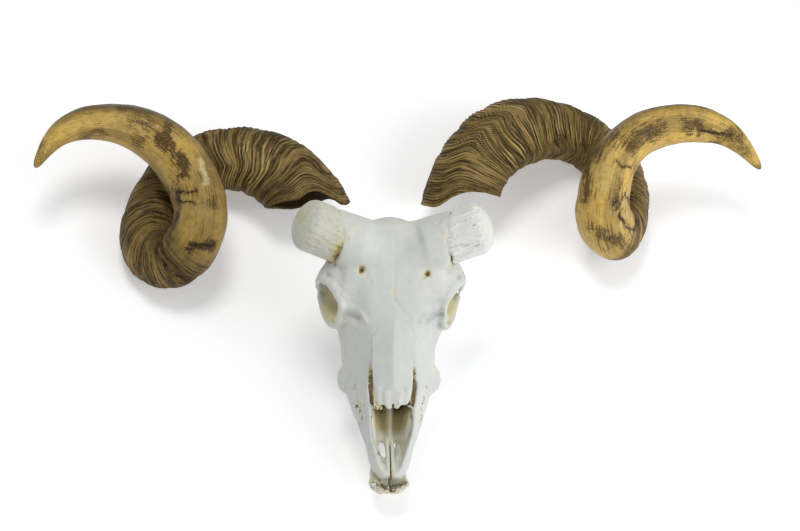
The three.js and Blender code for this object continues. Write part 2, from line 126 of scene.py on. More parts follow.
class Carving:
    """A piece under the carver's tools: its skin's points are at, in millimetres in the frame of place."""

    def __init__(self, piece, place):
        self.piece = piece
        self.place = np.array(place)
        mesh = piece.data
        flat = np.empty(len(mesh.vertices) * 3)
        mesh.vertices.foreach_get("co", flat)
        home = np.linalg.inv(self.place)
        self.at = flat.reshape(-1, 3) @ home[:3, :3].T + home[:3, 3]
        ends = np.empty(len(mesh.edges) * 2, int)
        mesh.edges.foreach_get("vertices", ends)
        ends = ends.reshape(-1, 2)
        self.ends = np.concatenate([ends, ends[:, ::-1]])
        self.dyes = {}
        self.settle()

    def ease(self, share, rounds):
        """Smooths the skin: each point moves its share of the way to the middle of its neighbours."""
        first, second = self.ends.T
        count = np.bincount(first, minlength=len(self.at))
        for _ in range(rounds):
            for k in range(3):
                middle = np.bincount(first, self.at[second, k], len(self.at)) / count
                self.at[:, k] += share * (middle - self.at[:, k])
        self.settle()

    def settle(self):
        """Puts the points back in the mesh, and reads the way that the skin faces."""
        mesh = self.piece.data
        placed = self.at @ self.place[:3, :3].T + self.place[:3, 3]
        placed[:, 2] = np.maximum(placed[:, 2], 0)  # worn flat where it lies on the table
        mesh.vertices.foreach_set("co", placed.ravel())
        mesh.update()
        facing = np.empty(len(self.at) * 3)
        mesh.vertex_normals.foreach_get("vector", facing)
        turned = facing.reshape(-1, 3) @ self.place[:3, :3]
        self.out = turned / np.linalg.norm(turned, axis=1)[:, None]

    def lift(self, height):
        """Moves each point out along its normal by height, and in where height is negative."""
        self.at += self.out * np.asarray(height)[..., None]

    def welt(self, line, width, height, wander=0):
        """A soft ridge along a line, or a groove where height is negative."""
        self.lift(height * glow(self.at + wander * haze(self.at, 5, 3)[:, None], line, width))

    def dye(self, name, share):
        """Adds share, from 0 to 1 over the points, to a named stain."""
        now = self.dyes.get(name, np.zeros(len(self.at)))
        self.dyes[name] = np.clip(now + share, 0, 1)

    def dye_line(self, name, line, width, share, wander=0):
        """Stains the skin along a line or round a point."""
        self.dye(name, share * glow(self.at + wander * haze(self.at, 4, 5)[:, None], line, width))

    def finish(self, material, stains=("fat_and_shade", "soil_and_shade", "spongy")):
        """Leaves the carved piece smooth shaded, with its material and its stains as attributes."""
        self.settle()
        mesh = self.piece.data
        for name in stains:
            held = mesh.attributes.new(name, "FLOAT", "POINT")
            held.data.foreach_set("value", self.dyes.get(name, np.zeros(len(self.at))).astype(np.float32))
        mesh.polygons.foreach_set("use_smooth", np.ones(len(mesh.polygons), bool))
        mesh.materials.clear()
        mesh.materials.append(material)
        mesh.update()


def rod(shape, points, sizes, sides=12):
    """A closed rod through points in the skull's frame. Its sizes are half-widths, across and up."""
    points = [SKULL @ Vector(p) for p in points]
    ring = bmesh.ops.create_circle(shape, segments=sides, radius=MM)["verts"]
    circle = [v.co.copy() for v in ring]
    edges = list({e for v in ring for e in v.link_edges})
    bmesh.ops.holes_fill(shape, edges=edges)
    for i, (point, size) in enumerate(zip(points, sizes)):
        ahead = (points[min(i + 1, len(points) - 1)] - points[max(i - 1, 0)]).normalized()
        upright = Vector((0, 1, 0)) if abs(ahead.z) > 0.9 else Vector((0, 0, 1))
        across = ahead.cross(upright).normalized()
        up = across.cross(ahead)
        if i:
            # the new ring keeps the order of the old one, as an edge ties each vertex to the one it came from
            grown = bmesh.ops.extrude_edge_only(shape, edges=edges)["geom"]
            fresh = {g for g in grown if isinstance(g, bmesh.types.BMVert)}
            edges = [g for g in grown if isinstance(g, bmesh.types.BMEdge) and set(g.verts) <= fresh]
            ring = [next(e.other_vert(v) for e in v.link_edges if e.other_vert(v) in fresh) for v in ring]
        for vert, (x, y, _) in zip(ring, circle):
            vert.co = point + across * x * size[0] + up * y * size[1]
    bmesh.ops.holes_fill(shape, edges=edges)


def cast(name, cad_node, fineness, added=()):
    """A CAD node's shape and the rods added to it, in one even skin of faces fineness mm wide."""
    shape = bmesh.new()
    if cad_node:
        shape.from_mesh(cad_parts[cad_node].data)
        bmesh.ops.remove_doubles(shape, verts=shape.verts, dist=1e-5)
    for points, sizes in added:
        rod(shape, points, sizes)
    bmesh.ops.recalc_face_normals(shape, faces=shape.faces)
    mesh = bpy.data.meshes.new(name)
    shape.to_mesh(mesh)
    shape.free()
    piece = linked(name, mesh)
    skin = piece.modifiers.new("skin", "REMESH")
    skin.mode = "VOXEL"
    skin.voxel_size = fineness * MM
    grown = bpy.data.meshes.new_from_object(piece.evaluated_get(bpy.context.evaluated_depsgraph_get()))
    piece.modifiers.clear()
    piece.data = grown
    grown.name = name
    return piece


def node(tree, kind, inputs=None, **settings):
    """A shader node with its settings, its inputs given values or linked to other nodes' outputs."""
    made = tree.nodes.new("ShaderNode" + kind)
    for key, value in settings.items():
        setattr(made, key, value)
    for key, value in (inputs or {}).items():
        if isinstance(value, bpy.types.NodeSocket):
            tree.links.new(value, made.inputs[key])
        else:
            made.inputs[key].default_value = value
    return made


def mixed(tree, share, first, second):
    """The colour that goes from first to second as share goes from 0 to 1."""
    colours = {6: first, 7: second}
    inputs = {0: share, **{k: (*c, 1) if isinstance(c, tuple) else c for k, c in colours.items()}}
    return node(tree, "Mix", inputs, data_type="RGBA").outputs[2]


def maths(tree, operation, first, second=0):
    return node(tree, "Math", {0: first, 1: second}, operation=operation).outputs[0]


def times(tree, first, second):
    return maths(tree, "MULTIPLY", first, second)


def rise(tree, value, low, high, top=1):
    """0 below low, top above high, and a smooth rise between them."""
    inputs = {0: value, 1: low, 2: high, 4: top}
    return node(tree, "MapRange", inputs, interpolation_type="SMOOTHSTEP").outputs[0]


def noise(tree, vector, scale, detail, roughness):
    inputs = {"Vector": vector, "Scale": scale, "Detail": detail, "Roughness": roughness}
    return node(tree, "TexNoise", inputs).outputs[0]


def layered(tree, colour, layers):
    """A colour with other colours laid over it in turn, each by its share."""
    for share, over in layers:
        colour = mixed(tree, share, colour, over)
    return colour


def stain(tree, name):
    return node(tree, "Attribute", attribute_name=name).outputs["Fac"]


def new_group(name, **values):
    """A node group that turns a Vector and the named values into a Mask, with its own inputs and outputs."""
    group = bpy.data.node_groups.new(name, "ShaderNodeTree")
    group.interface.new_socket("Vector", in_out="INPUT", socket_type="NodeSocketVector")
    for label, start in values.items():
        group.interface.new_socket(label, in_out="INPUT", socket_type="NodeSocketFloat").default_value = start
    group.interface.new_socket("Mask", in_out="OUTPUT", socket_type="NodeSocketFloat")
    return group, group.nodes.new("NodeGroupInput").outputs, group.nodes.new("NodeGroupOutput").inputs


def patches_group():
    """Soft-edged patches of wear or age: a mask of 0 and 1 with blurred, broken borders."""
    group, given, made = new_group("patches", Scale=40, Level=0.5, Blur=0.1)
    clouds = noise(group, given["Vector"], given["Scale"], 6, 0.6)
    low = maths(group, "SUBTRACT", given["Level"], given["Blur"])
    high = maths(group, "ADD", given["Level"], given["Blur"])
    group.links.new(rise(group, clouds, low, high), made["Mask"])
    return group


def pores_group():
    """Pin-prick pores: dots of uneven size, that thin out where Amount is low."""
    group, given, made = new_group("pores", Scale=400, Amount=0.5)
    cells = node(group, "TexVoronoi", {"Vector": given["Vector"], "Scale": given["Scale"], "Randomness": 1})
    chance = node(group, "SeparateColor", {0: cells.outputs["Color"]}).outputs[0]
    reach = times(group, maths(group, "SUBTRACT", given["Amount"], chance), 0.9)
    hole = node(group, "MapRange", {0: cells.outputs["Distance"], 1: 0, 2: reach, 3: 1, 4: 0})
    some = maths(group, "GREATER_THAN", given["Amount"], chance)
    group.links.new(times(group, hole.outputs[0], some), made["Mask"])
    return group


def broken_group():
    """A stain with a ragged edge: Share, from 0 to 1, eaten into by fine noise."""
    group, given, made = new_group("broken_edge", Scale=300, Share=0)
    clouds = noise(group, given["Vector"], given["Scale"], 5, 0.65)
    bitten = times(group, maths(group, "SUBTRACT", clouds, 0.5), 0.9)
    ragged = rise(group, maths(group, "ADD", given["Share"], bitten), 0.15, 0.75)
    some = node(group, "MapRange", {0: given["Share"], 1: 0, 2: 0.15}).outputs[0]
    group.links.new(times(group, ragged, some), made["Mask"])
    return group


PATCHES, PORES, BROKEN = patches_group(), pores_group(), broken_group()


def effect(tree, group, **inputs):
    """The mask of a shared effect, placed in a material with that material's own values."""
    return node(tree, "Group", inputs, node_tree=group).outputs[0]


def new_material(name, settings):
    """A material, its node tree and its surface shader, with settings on the shader's sockets."""
    material = bpy.data.materials.new(name)
    material.use_nodes = True
    surface = material.node_tree.nodes["Principled BSDF"]
    for label, value in settings.items():
        surface.inputs[label].default_value = value
    return material, material.node_tree, surface


def bone_finish(name, pale, warm, fat_and_shade, soil_and_shade, roughness, pored, grained):
    """Dry bone: two close tones in soft patches, pores, faint grain, and stains of yellow fat and brown soil
    where the piece has them; the same two stains also carry painted shade in hollows and inside the nose."""
    material, tree, surface = new_material(name, {"Roughness": roughness, "Specular IOR Level": 0.35})
    at = node(tree, "TexCoord").outputs["Object"]
    soft = effect(tree, PATCHES, Vector=at, Scale=22, Level=0.52, Blur=0.2)
    fine = effect(tree, PATCHES, Vector=at, Scale=160, Level=0.55, Blur=0.2)
    mottle = effect(tree, PATCHES, Vector=at, Scale=260, Level=0.5, Blur=0.15)
    fat_and_shade_mask = effect(tree, BROKEN, Vector=at, Scale=140, Share=stain(tree, "fat_and_shade"))
    browned = effect(tree, BROKEN, Vector=at, Scale=420, Share=stain(tree, "soil_and_shade"))
    spongy = maths(tree, "ADD", stain(tree, "spongy"), pored)
    holes = effect(tree, PORES, Vector=at, Scale=420, Amount=spongy)
    colour = layered(tree, pale, (
        (soft, warm),
        (times(tree, fine, 0.35), tuple(c * 0.86 for c in pale)),
        (fat_and_shade_mask, fat_and_shade),
        (times(tree, holes, 0.55), tuple(c * 0.5 for c in fat_and_shade)),
        (browned, mixed(tree, mottle, soil_and_shade, tuple(c * 0.4 for c in soil_and_shade))),
    ))
    tree.links.new(colour, surface.inputs["Base Color"])
    grain = noise(tree, at, 700, 4, 0.6)
    height = maths(tree, "SUBTRACT", times(tree, grain, grained), times(tree, holes, 0.8))
    bump = node(tree, "Bump", {"Strength": 0.5, "Distance": 0.0004, "Height": height})
    tree.links.new(bump.outputs[0], surface.inputs["Normal"])
    return material


BONE = bone_finish("dry_bone", (0.6, 0.62, 0.585), (0.66, 0.665, 0.6), (0.68, 0.6, 0.33),
                   (0.21, 0.13, 0.045), 0.58, 0.02, 0.35)

# What is grown onto the bone: rods, as their points and their half-widths across and up.
added = [
    # the forehead runs up to the horn cores in one sweep
    ([(-45, 196, 98), (-22, 190, 93), (0, 188, 90), (22, 190, 93), (45, 196, 98)],
     [(24, 24), (22, 20), (20, 18), (22, 20), (24, 24)]),
    ([(-40, 201, 102), (-20, 198, 98), (0, 196, 95), (20, 198, 98), (40, 201, 102)],
     [(15, 15), (14, 13), (12, 12), (14, 13), (15, 15)]),
    # the crest at the back of the head
    ([(-10, 212, 105), (-3, 213, 109), (2, 213, 107), (9, 212, 106)], [(3, 3), (3, 5), (3, 4.5), (3, 3)]),
    # the vomer
    ([(0, 110, 20), (0, 90, 16), (0, 64, 14), (0, 52, 11), (0, 42, 9), (0, 30, 6)],
     [(4, 18), (4, 14), (4, 8), (3.8, 6), (3, 4), (2, 3)]),
]
PAIRED_RODS = (
    # the curled bones and the walls of the nose
    ([(15, 66, 36), (15, 78, 38), (14, 100, 42)], [(3, 5), (4.5, 7), (3, 4)]),
    ([(9, 70, 24), (9, 86, 26), (8, 104, 30)], [(3.5, 6), (4.5, 8), (3, 5)]),
    ([(19.5, 62, 26), (18, 46, 18), (14, 34, 10)], [(5, 10), (4.6, 8), (3.4, 4)]),
    # above the tips of the nasal bones the gap is closed by bone
    ([(21, 88, 53.5), (20.2, 94, 56.6), (19.3, 101, 59.7), (18.7, 108, 63), (17.6, 113.5, 67),
      (14.5, 118.5, 70.9), (10, 122.5, 74.4), (5, 126, 77.4), (0, 128.5, 79)],
     [(0.8, 1.2), (3, 2.5)] + 7 * [(3.4, 2.7)]),
    # the edge of the palate
    ([(16, 64, 14), (14, 48, 9), (11, 36, 5)], [(4, 6), (3.6, 5), (3, 3)]),
    # the hollow between the forehead and the brow, filled
    ([(14, 206, 106), (18, 197, 106.5), (22, 186, 104.5), (26, 176, 99)], [(9, 7), (10, 9), (10, 9), (8, 7)]),
)
for _, side in SIDES:
    added += [(sideways(points, side), sizes) for points, sizes in PAIRED_RODS]
added += [
    # spongy bone left standing in the gaps beside the tips of the nasal bones
    ([(-20.5, 80, 50), (-19, 70, 47), (-17, 63, 43.5), (-12, 57, 41), (-7, 54.5, 40)],
     [(1.5, 2.5), (3, 3.5), (5, 4), (5.5, 3.8), (3, 2.6)]),
    ([(20.5, 80, 51), (20.5, 66, 45), (19, 56, 39)], [(1.2, 3), (2.2, 3), (2.4, 3)]),
    # a bar of bone under the left brow
    ([(53, 150, 80), (58, 157, 81.5), (63.5, 165, 78.5)], [(2.6, 3), (3.4, 3.6), (2.6, 3)]),
]

# Where a horn core's middle line leaves the skull, and where it ends.
CORE_START, CORE_END = (52, 201, 101), (87, 208, 112)


def about_core(at, side):
    """The way a core points, and how points lie about its line: their length along it, spoke and distance."""
    start = np.array(CORE_START) * (side, 1, 1)
    end = np.array(CORE_END) * (side, 1, 1) + (0, 0, 2 - 2 * side)  # the right one stands a little higher
    axis = (end - start) / np.linalg.norm(end - start)
    along = (at - start) @ axis
    spoke = at - start - along[:, None] * axis
    return axis, along, spoke, np.linalg.norm(spoke, axis=1)


def left_twin(at):
    """Points as they would be on the left side."""
    return np.column_stack([np.abs(at[:, 0]), at[:, 1:]])


skull = Carving(cast("cranium_bone", "cranium", 1.24, added), SKULL)
x, y, z = skull.at.T  # these follow the points as they are carved
twin = left_twin(skull.at)
gap_edge = [(w, v, np.interp(v, *ROOF.T)) for v, w in NASAL_GAP]
# thin edges are smoothed less than the plain faces between them
plain = ramp(3, 9, distance(twin, RIM)) * ramp(1, 4, distance(twin, gap_edge[:4])) * ramp(-4, 4, z)
plain *= ramp(3, 8, np.abs(twin[:, 0] - np.interp(y, (0, 60), (14, 21))) + 9 * ramp(55, 70, y))
skull.ease(0.15 + 0.5 * plain, 36)
twin = left_twin(skull.at)
across = twin[:, 0]
deep = np.interp(y, *ROOF.T) - 0.02 * np.minimum(across, 22) ** 2 - z  # below the roof of the nose

# Ridges and grooves on both sides, with widths and heights: the brow over the lacrimal pit, the pit, the
# groove of the brow's vein, cracks, the facial crest, the temporal lines and the sutures of the cheekbone.
for line, width, height in (
    ([(47, 139, 79), (40, 139.5, 78), (30, 134.5, 77.5), (25, 128, 75)], 2.4, 2.2),
    ([(43, 134.5, 70), (34, 131, 70.5)], 4.6, -4.6),
    ([(33, 176, 104), (29.6, 171, 100), (25, 165, 98), (22, 156, 94)], 1.8, -0.35),
    ([(48, 147, 86.5), (40, 146, 86)], 0.9, -0.8),
    ([(49, 151, 87.5), (44, 149, 87), (38, 150, 88), (33, 150.5, 88)], 0.8, -0.7),
    ([(43, 139, 44), (45, 118, 36), (45, 99, 24)], 4, 1.6),
    ([(62, 176, 80), (51, 190, 92), (44, 199, 90)], 3, 0.8),
    ([(36, 205, 96), (38, 214, 70), (30, 222, 50)], 3, 1.2),
    ([(24, 112, 64), (30, 120, 62), (37, 127, 60)], 0.8, -0.5),
    ([(37, 127, 60), (44, 120, 44), (40, 108, 30)], 0.8, -0.5),
):
    for _, side in SIDES:
        skull.welt(sideways(line, side), width, height)

# The holes for the forehead's veins: x and y, width and depth, and the width and strength of the dark brown
# painted down inside them as shade and of the yellow stain round them.
HOLES = ((-30, 168, 2.3, 4.2, 3, 1), (-25.5, 162, 1.1, 1.4, 1.6, 0.5),
         (30.5, 165.5, 2.2, 4, 2.8, 1), (27, 161.5, 1.1, 1, 1.6, 0.4))
hole_tops = []
for across_at, back_at, *_ in HOLES:
    near = np.hypot(x - across_at, y - back_at) < 1.5
    hole_tops.append(np.array((across_at, back_at, z[near].max())))
crest = glow(skull.at, [(-10, 213, 108), (0, 214, 112), (9, 212, 109)], 3.5)
skull.lift(1.6 * haze(skull.at, 2.8, 16) * crest)
for top, (_, _, width, depth, _, _) in zip(hole_tops, HOLES):
    skull.welt(top, width, -depth)
skull.welt([(0, 205, 117), (0, 170, 101), (0, 143, 88)], 1.2, -0.28, 0.4)  # suture between the frontal bones
for _, side in SIDES:
    skull.welt(sideways([(0, 143, 88), (9, 134, 84), (20, 122, 76), (21, 112, 70)], side), 1, -0.3, 0.6)
rough = glow(twin, [(44, 147, 86), (50, 152, 87), (52, 160, 88)], 5)
burr = glow(twin, [(39, 205, 120), (45, 190, 121), (51, 182, 113), (53, 177, 101), (50, 176, 86)], 4.5)
worn = glow(twin, [(31, 70, 31), (28, 52, 25), (26, 44, 21)], 6)
skull.lift(0.5 * haze(skull.at, 2.6, 11) * (rough + 1.3 * burr + 0.7 * worn) + 0.12 * haze(skull.at, 9, 12))
skull.lift(-0.9 * ramp(0.25, 0.8, haze(skull.at, 3.4, 13)) * (rough + burr + 0.8 * worn))
skull.dye("spongy", 0.35 * worn + 0.25 * burr + 0.2 * rough)

# the gap beside the nasal bones, with the spongy bone left in it on the right
gap = np.interp(y, *NASAL_GAP.T, right=0)
# painted shade: deep below the roof, where the gap opens into the nose, the bone is dyed brown and yellow
inside = ramp(1.4, 4, deep) * (across < gap + 1) * (y > 44) * (y < 129)
skull.dye("soil_and_shade", inside * (0.3 + 0.6 * ramp(96, 82, y)) * ramp(40, 60, y))
skull.dye("fat_and_shade", inside * 0.6)
in_gap = ramp(3.4, 1.8, np.abs(across - gap + 1.8)) * ramp(97, 86, y) * ramp(48, 54, y) * ramp(9, 5, deep)
sponge = ramp(6.5, 4, distance(skull.at, [(-19, 70, 48), (-17, 63, 45), (-12, 57, 42), (-7, 54.5, 41)]))
skull.lift(-1.1 * in_gap + 0.5 * sponge * haze(skull.at, 1.8, 19))
specked = ramp(0.15, 0.7, haze(skull.at, 1.7, 20))
skull.dye("soil_and_shade", in_gap * (0.62 + 0.3 * haze(skull.at, 2.5, 18)) + sponge * 0.85 * specked)
skull.dye("fat_and_shade", 0.8 * np.maximum(in_gap, sponge))
skull.dye("spongy", 0.6 * np.maximum(in_gap, sponge))

# painted shade inside the nose, under its roof: yellow towards the middle and browner further back
nose = (across < np.interp(y, (0, 30, 60, 110), (9, 17, 20.5, 20))) * (z > -4) * (deep > 6) * (y < 115)
nose = nose * (in_gap < 0.1) * (sponge < 0.1)
skull.dyes["soil_and_shade"] *= 1 - nose
skull.dyes["fat_and_shade"] *= 1 - nose
skull.dye("fat_and_shade", nose * (0.42 + 0.5 * ramp(17, 8, across) * ramp(2, 6, across) * ramp(40, 56, y)))
skull.dye("soil_and_shade", nose * ramp(52, 80, y) * ramp(3, 6, across) * (0.25 + 0.65 * ramp(17, 9, across)))
skull.dye("soil_and_shade", nose * ramp(66, 86, y) * 0.9)
skull.dye("spongy", 0.5 * glow(twin, [(20, 72, 50), (17, 60, 46), (9, 54, 43)], 5) * (y < 80))

# Stains along lines: width, strength and how far they wander.
BROW_BURR = [(-50, 183, 116), (-54, 177, 104), (-52, 176, 90)]
for kind, line, width, share, wander in (
    ("soil_and_shade", [(0, 46, 16), (0, 36, 13), (0, 26, 10)], 0.9, 0.7, 0),
    ("soil_and_shade", [(-20, 66, 42), (-14, 55, 39), (-7, 51, 38)], 2.4, 0.8, 1.5),
    ("soil_and_shade", [(20, 70, 46), (18, 54, 35)], 2.2, 0.8, 1.5),
    ("fat_and_shade", [(15, 74, 38), (14, 60, 33), (8, 58, 36)], 8, 0.8, 2),
    ("soil_and_shade", [(16, 74, 40), (15, 62, 36), (8, 60, 38)], 6, 0.75, 2),
    ("fat_and_shade", [(0, 151, 92)], 3, 0.5, 1),
    ("fat_and_shade", [(0, 215, 118), (0, 143, 88)], 2, 0.22, 1),
    ("soil_and_shade", BROW_BURR, 3, 0.5, 2),
):
    skull.dye_line(kind, line, width, share, wander)
for _, side in SIDES:
    for kind, line, width, share, wander in (
        ("soil_and_shade", [(49, 151, 87.5), (44, 149, 87), (38, 150, 88)], 0.8, 0.45, 1.5),
        # painted shadow: a thin brown line under the brow's ridge, in the lacrimal pit
        ("soil_and_shade", [(42, 135, 72), (35, 132, 73)], 1.4, 0.3, 1),
        ("soil_and_shade", [(32, 80, 34)], 3, 0.6, 1),
        ("fat_and_shade", gap_edge[:5], 2.2, 0.5, 1.5),
        ("fat_and_shade", [(31, 66, 31), (27, 46, 23)], 4, 0.3 if side < 0 else 0.1, 3),
    ):
        skull.dye_line(kind, sideways(line, side), width, share, wander)
for top, (_, _, _, _, width, share) in zip(hole_tops, HOLES):
    # painted shade down inside each hole, and a yellow stain round its mouth
    skull.dye_line("soil_and_shade", [top - (0, 0, 1), top - (0, 0, 7)], width, share, 0.8)
    skull.dye_line("fat_and_shade", top, width * 1.7, 0.8 * share, 1)

# the eye sockets, the burrs and the pitted edge of the gap
socket = fade((distance(twin, (55, 154, 58)) / 25) ** 3)
skull.dye("fat_and_shade", 0.58 * socket * (across > 38) * ramp(1, 3.5, distance(twin, RIM)))
skull.dye("soil_and_shade", 0.45 * glow(twin, (60, 165, 76), 9) * (x < 0))
skull.dye("fat_and_shade", 0.45 * burr + 0.1 * rough)
pitted = glow(twin, gap_edge[2:6], 3.2) * ramp(76, 92, y)
skull.dye("spongy", 0.7 * pitted)
skull.dye("fat_and_shade", 0.5 * pitted + 0.2 * worn * (x < 0))
skull.dye("soil_and_shade", (pitted + 0.9 * worn) * ramp(0.25, 0.7, haze(skull.at, 1.9, 17)))
for _, side in SIDES:
    # the forehead narrows a little into each core, so that the core's skin comes out through it
    _, along, spoke, off = about_core(skull.at, side)
    most = np.interp(along, (-15, -8, -2), (29, 26.4, 25.2))
    over = np.maximum(0, off - most) * ramp(30, 27, off) * (x * side > 18) * ramp(-15, -12, along)
    skull.at -= spoke / np.maximum(off, 1e-6)[:, None] * over[:, None]
skull.finish(BONE)
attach(skull.piece, "root")
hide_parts("cranium")


# ---- the nasal bones and the premaxillae --------------------------------------------------------------
# Two thin arched bones roof the nose, their sutures to the face open and stained, their free tips ragged. The
# two premaxillae in front of the face carry no teeth and end in a flat toothless pad.

# The outer edge of the left nasal bone, as y and x.
NASAL_EDGE = ((46, 5), (52, 9), (59, 14), (68, 17.5), (112, 18.5), (122, 12), (128, 3))
for name, side in SIDES:
    tips = [(sideways(points, side), sizes) for points, sizes in (
        ([(5, 68, 51.5), (4.2, 59, 46.5), (3.2, 54, 43.5)], [(4.6, 1.8), (4, 1.7), (2.2, 1.3)]),
        ([(12, 72, 51.5), (10, 64, 47.5), (8, 58, 44.5)], [(4, 1.8), (3.6, 1.6), (2, 1.2)]),
    )]
    nasal = Carving(cast(f"nasal_bone_{name}", f"nasal_{name}", 0.7, tips), SKULL)
    nasal.ease(0.5, 5)
    x, y, z = nasal.at.T  # these follow the points as they are carved
    # grown back over what easing took, up to the midline and, further up, to the edge of the face
    out = x * side
    top = ramp(6, 3, np.interp(y, *ROOF.T) - z)
    reach = np.interp(y, (60, 72, 84, 96, 106, 128), (0.6, 1, 1.4, 1.7, 1.9, 2.2))
    x += side * reach * ramp(0.45, 0.95, out / np.interp(y, *np.array(NASAL_EDGE).T))
    x -= side * ramp(4, 0.5, out) * np.interp(y, (50, 66), (0.1, 1.3))
    z += 0.55 * top
    nasal.settle()
    tip = ramp(70, 52, y)
    nasal.lift(0.45 * tip * haze(nasal.at, 2.2, 21) - 0.9 * tip * ramp(0.3, 0.8, haze(nasal.at, 3, 22)))
    nasal.lift(0.12 * haze(nasal.at, 7, 23))
    y += 1.8 * ramp(62, 50, y) * haze(np.stack([x, 0 * x, 0 * x], 1), 3.2, 27)  # the ragged front edge
    nasal.settle()
    nasal.welt([(0.8 * side, 64, 51), (0.8 * side, 90, 65), (0.8 * side, 118, 78)], 1, 0.2, 0.3)
    # the tips are yellowed all over; the underside, inside the nose, is painted yellow and brown as shade,
    # browner further below the roof and under the tips
    below = np.interp(y, *ROOF.T) - 0.02 * x**2 - z
    nasal.dye("fat_and_shade", 0.5 * ramp(60, 50, y) + 0.6 * ramp(1.2, 4, below))
    nasal.dye("soil_and_shade", ramp(2.5, 6, below) * 0.8 + 0.6 * ramp(56, 48, y) * ramp(1, 3, below))
    nasal.dye("spongy", 0.25 * tip)
    z -= 0.85 * ramp(94, 106, y)  # the root lies flush with the forehead
    nasal.dye_line("soil_and_shade", [(0, 50, 42), (0, 62, 49)], 1.1, 0.8, 1)
    nasal.finish(BONE)
    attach(nasal.piece, "root")
    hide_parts(f"nasal_{name}")

    splint = (sideways([(20.5, 54, 31), (22, 62, 39), (23, 70, 45), (23.6, 79, 50)], side),
              [(2.6, 5), (2, 4), (1.5, 2.6), (0.6, 1)])
    front = Carving(cast(f"premaxilla_bone_{name}", f"premaxilla_{name}", 0.75, [splint]), SKULL)
    front.ease(0.5, 7)
    front.lift(0.3)
    x, y, z = front.at.T
    x -= side * 0.5 * ramp(3.4, 2.2, np.abs(x)) * ramp(60, 50, y)
    front.settle()
    front.lift(0.12 * haze(front.at, 5, 24))
    off = np.abs(x)
    front.dye("fat_and_shade", 0.3 * ramp(3.5, 1, off) * ramp(45, 10, y) + 0.25 * (off < 12) * (z < 12))
    front.dye("soil_and_shade", 0.8 * ramp(1, 0.1, off) * ramp(46, 36, y) + 0.5 * ramp(8, 0, y) * ramp(6, 0, off))
    front.dye("soil_and_shade", 0.5 * ramp(2, -2, z) * ramp(14, 4, y))
    front.finish(BONE)
    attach(front.piece, "root")
    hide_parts(f"premaxilla_{name}")


# ---- the horn cores -----------------------------------------------------------------------------------
# The short stumps of bone that the sheaths grew on, sawn off and worn round. Their bone is coarser than the
# skull's: furrowed along its length by vessels, pitted, and rough where it leaves the forehead at the burr.
# painted shade and light: the same bone twice, darker and greyer for the right core as in shade, paler for
# the left as if lit
SHADED_CORE = bone_finish("core_bone_shaded", (0.55, 0.55, 0.475), (0.59, 0.58, 0.49), (0.52, 0.45, 0.22),
                       (0.22, 0.145, 0.05), 0.78, 0.2, 1)
LIT_CORE = bone_finish("core_bone_lit", (0.74, 0.745, 0.69), (0.78, 0.775, 0.7), (0.64, 0.59, 0.38),
                        (0.3, 0.24, 0.14), 0.78, 0.16, 1)
DOME, DOME_HEIGHT = 15, 17.5  # where the worn end begins, before the sawn end, and how far it then rises
ROUNDING = 2.1  # 2 would be a half ball
ROOT = 8  # how far the core goes on inside the forehead

for seed, (name, side) in enumerate(SIDES):
    stain_and_shade_shares = (0.25, 0.35, 0.25) if side < 0 else (0.05, 0.1, 0.1)  # at the root, in furrows and in blotches; more on the right core, to darken it as painted shade
    stump = Carving(cast(f"horn_core_bone_{name}", f"horn_core_{name}", 0.6), SKULL)
    stump.ease(0.5, 10)
    axis, along, spoke, off = about_core(stump.at, side)
    last = along.max()
    high = np.maximum(0, along - last + DOME) / DOME
    bulge = (high**ROUNDING + (off / np.percentile(off, 97)) ** ROUNDING) ** (1 / ROUNDING)
    rise_to = last - DOME + DOME_HEIGHT * high / np.maximum(bulge, 1e-6)
    stump.at -= spoke * ((1 - 1 / np.maximum(bulge, 1)) * (high > 0))[:, None]
    stump.at += axis * ((rise_to - along) * (high > 0))[:, None]
    seam = (stump.at[:, 0] * side).min()
    stump.at -= axis * (ROOT * ramp(3.2, 0.8, stump.at[:, 0] * side - seam))[:, None]
    stump.ease(0.5 * ramp(last - 18, last - 10, along), 26)
    stump.lift(0.35)

    # furrows run along it, deepest on top of the left one, and the burr is rough and sinks into the skull
    axis, along, spoke, off = about_core(stump.at, side)
    sidewall = ramp(1.02, 0.6, np.abs(stump.out @ axis))
    fibre = spoke + axis * (along[:, None] / 6)  # drawn short along the core, so that noise runs along it
    furrow = haze(fibre, 1.5, 31 + seed)
    coarse = haze(fibre, 3.2, 33 + seed)
    upper = ramp(0.1, 0.8, stump.out @ np.array((-0.4 * side, -0.2, 0.9)))
    furrowed = 0.5 * furrow - 1.1 * ramp(0.25, 0.8, furrow) + 0.7 * coarse
    stump.lift(sidewall * (0.75 + 1.4 * upper * (side > 0)) * furrowed)
    stump.lift(-1 * ramp(0.4, 0.85, haze(stump.at, 1.9, 35 + seed)) * ramp(0, 0.5, haze(stump.at, 9, 36)))
    root = ramp(12, -4, along + 4)
    sunk = 1.8 * ramp(0.5, -5, stump.at[:, 0] * side - seam + 1.5 * haze(stump.at, 6, 29))
    stump.at -= spoke / np.maximum(off, 1e-6)[:, None] * sunk[:, None]
    stump.lift(root * (0.6 * haze(stump.at, 2.2, 37 + seed) - 1 * ramp(0.2, 0.8, haze(stump.at, 2.8, 38))))
    blotched = ramp(0.2, 0.7, haze(stump.at, 12, 39))
    stump.dye("spongy", 0.3 + 0.3 * root)
    stump.dye("fat_and_shade", stain_and_shade_shares[0] * root + stain_and_shade_shares[1] * ramp(0.2, 0.7, furrow) + stain_and_shade_shares[2] * blotched)
    stump.dye("soil_and_shade", 0.25 * ramp(0.45, 0.9, furrow) * ramp(0, 0.6, haze(stump.at, 6, 40)))
    stump.dye_line("soil_and_shade", BROW_BURR, 4, 0.6, 2.5)
    stump.dye_line("fat_and_shade", BROW_BURR, 8, 0.7, 2.5)
    stump.dye_line("fat_and_shade", [(-88, 214, 118), (-86, 206, 126)], 6, 0.5, 2.5)
    stump.finish(SHADED_CORE if side < 0 else LIT_CORE)
    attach(stump.piece, "root")
    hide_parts(f"horn_core_{name}")


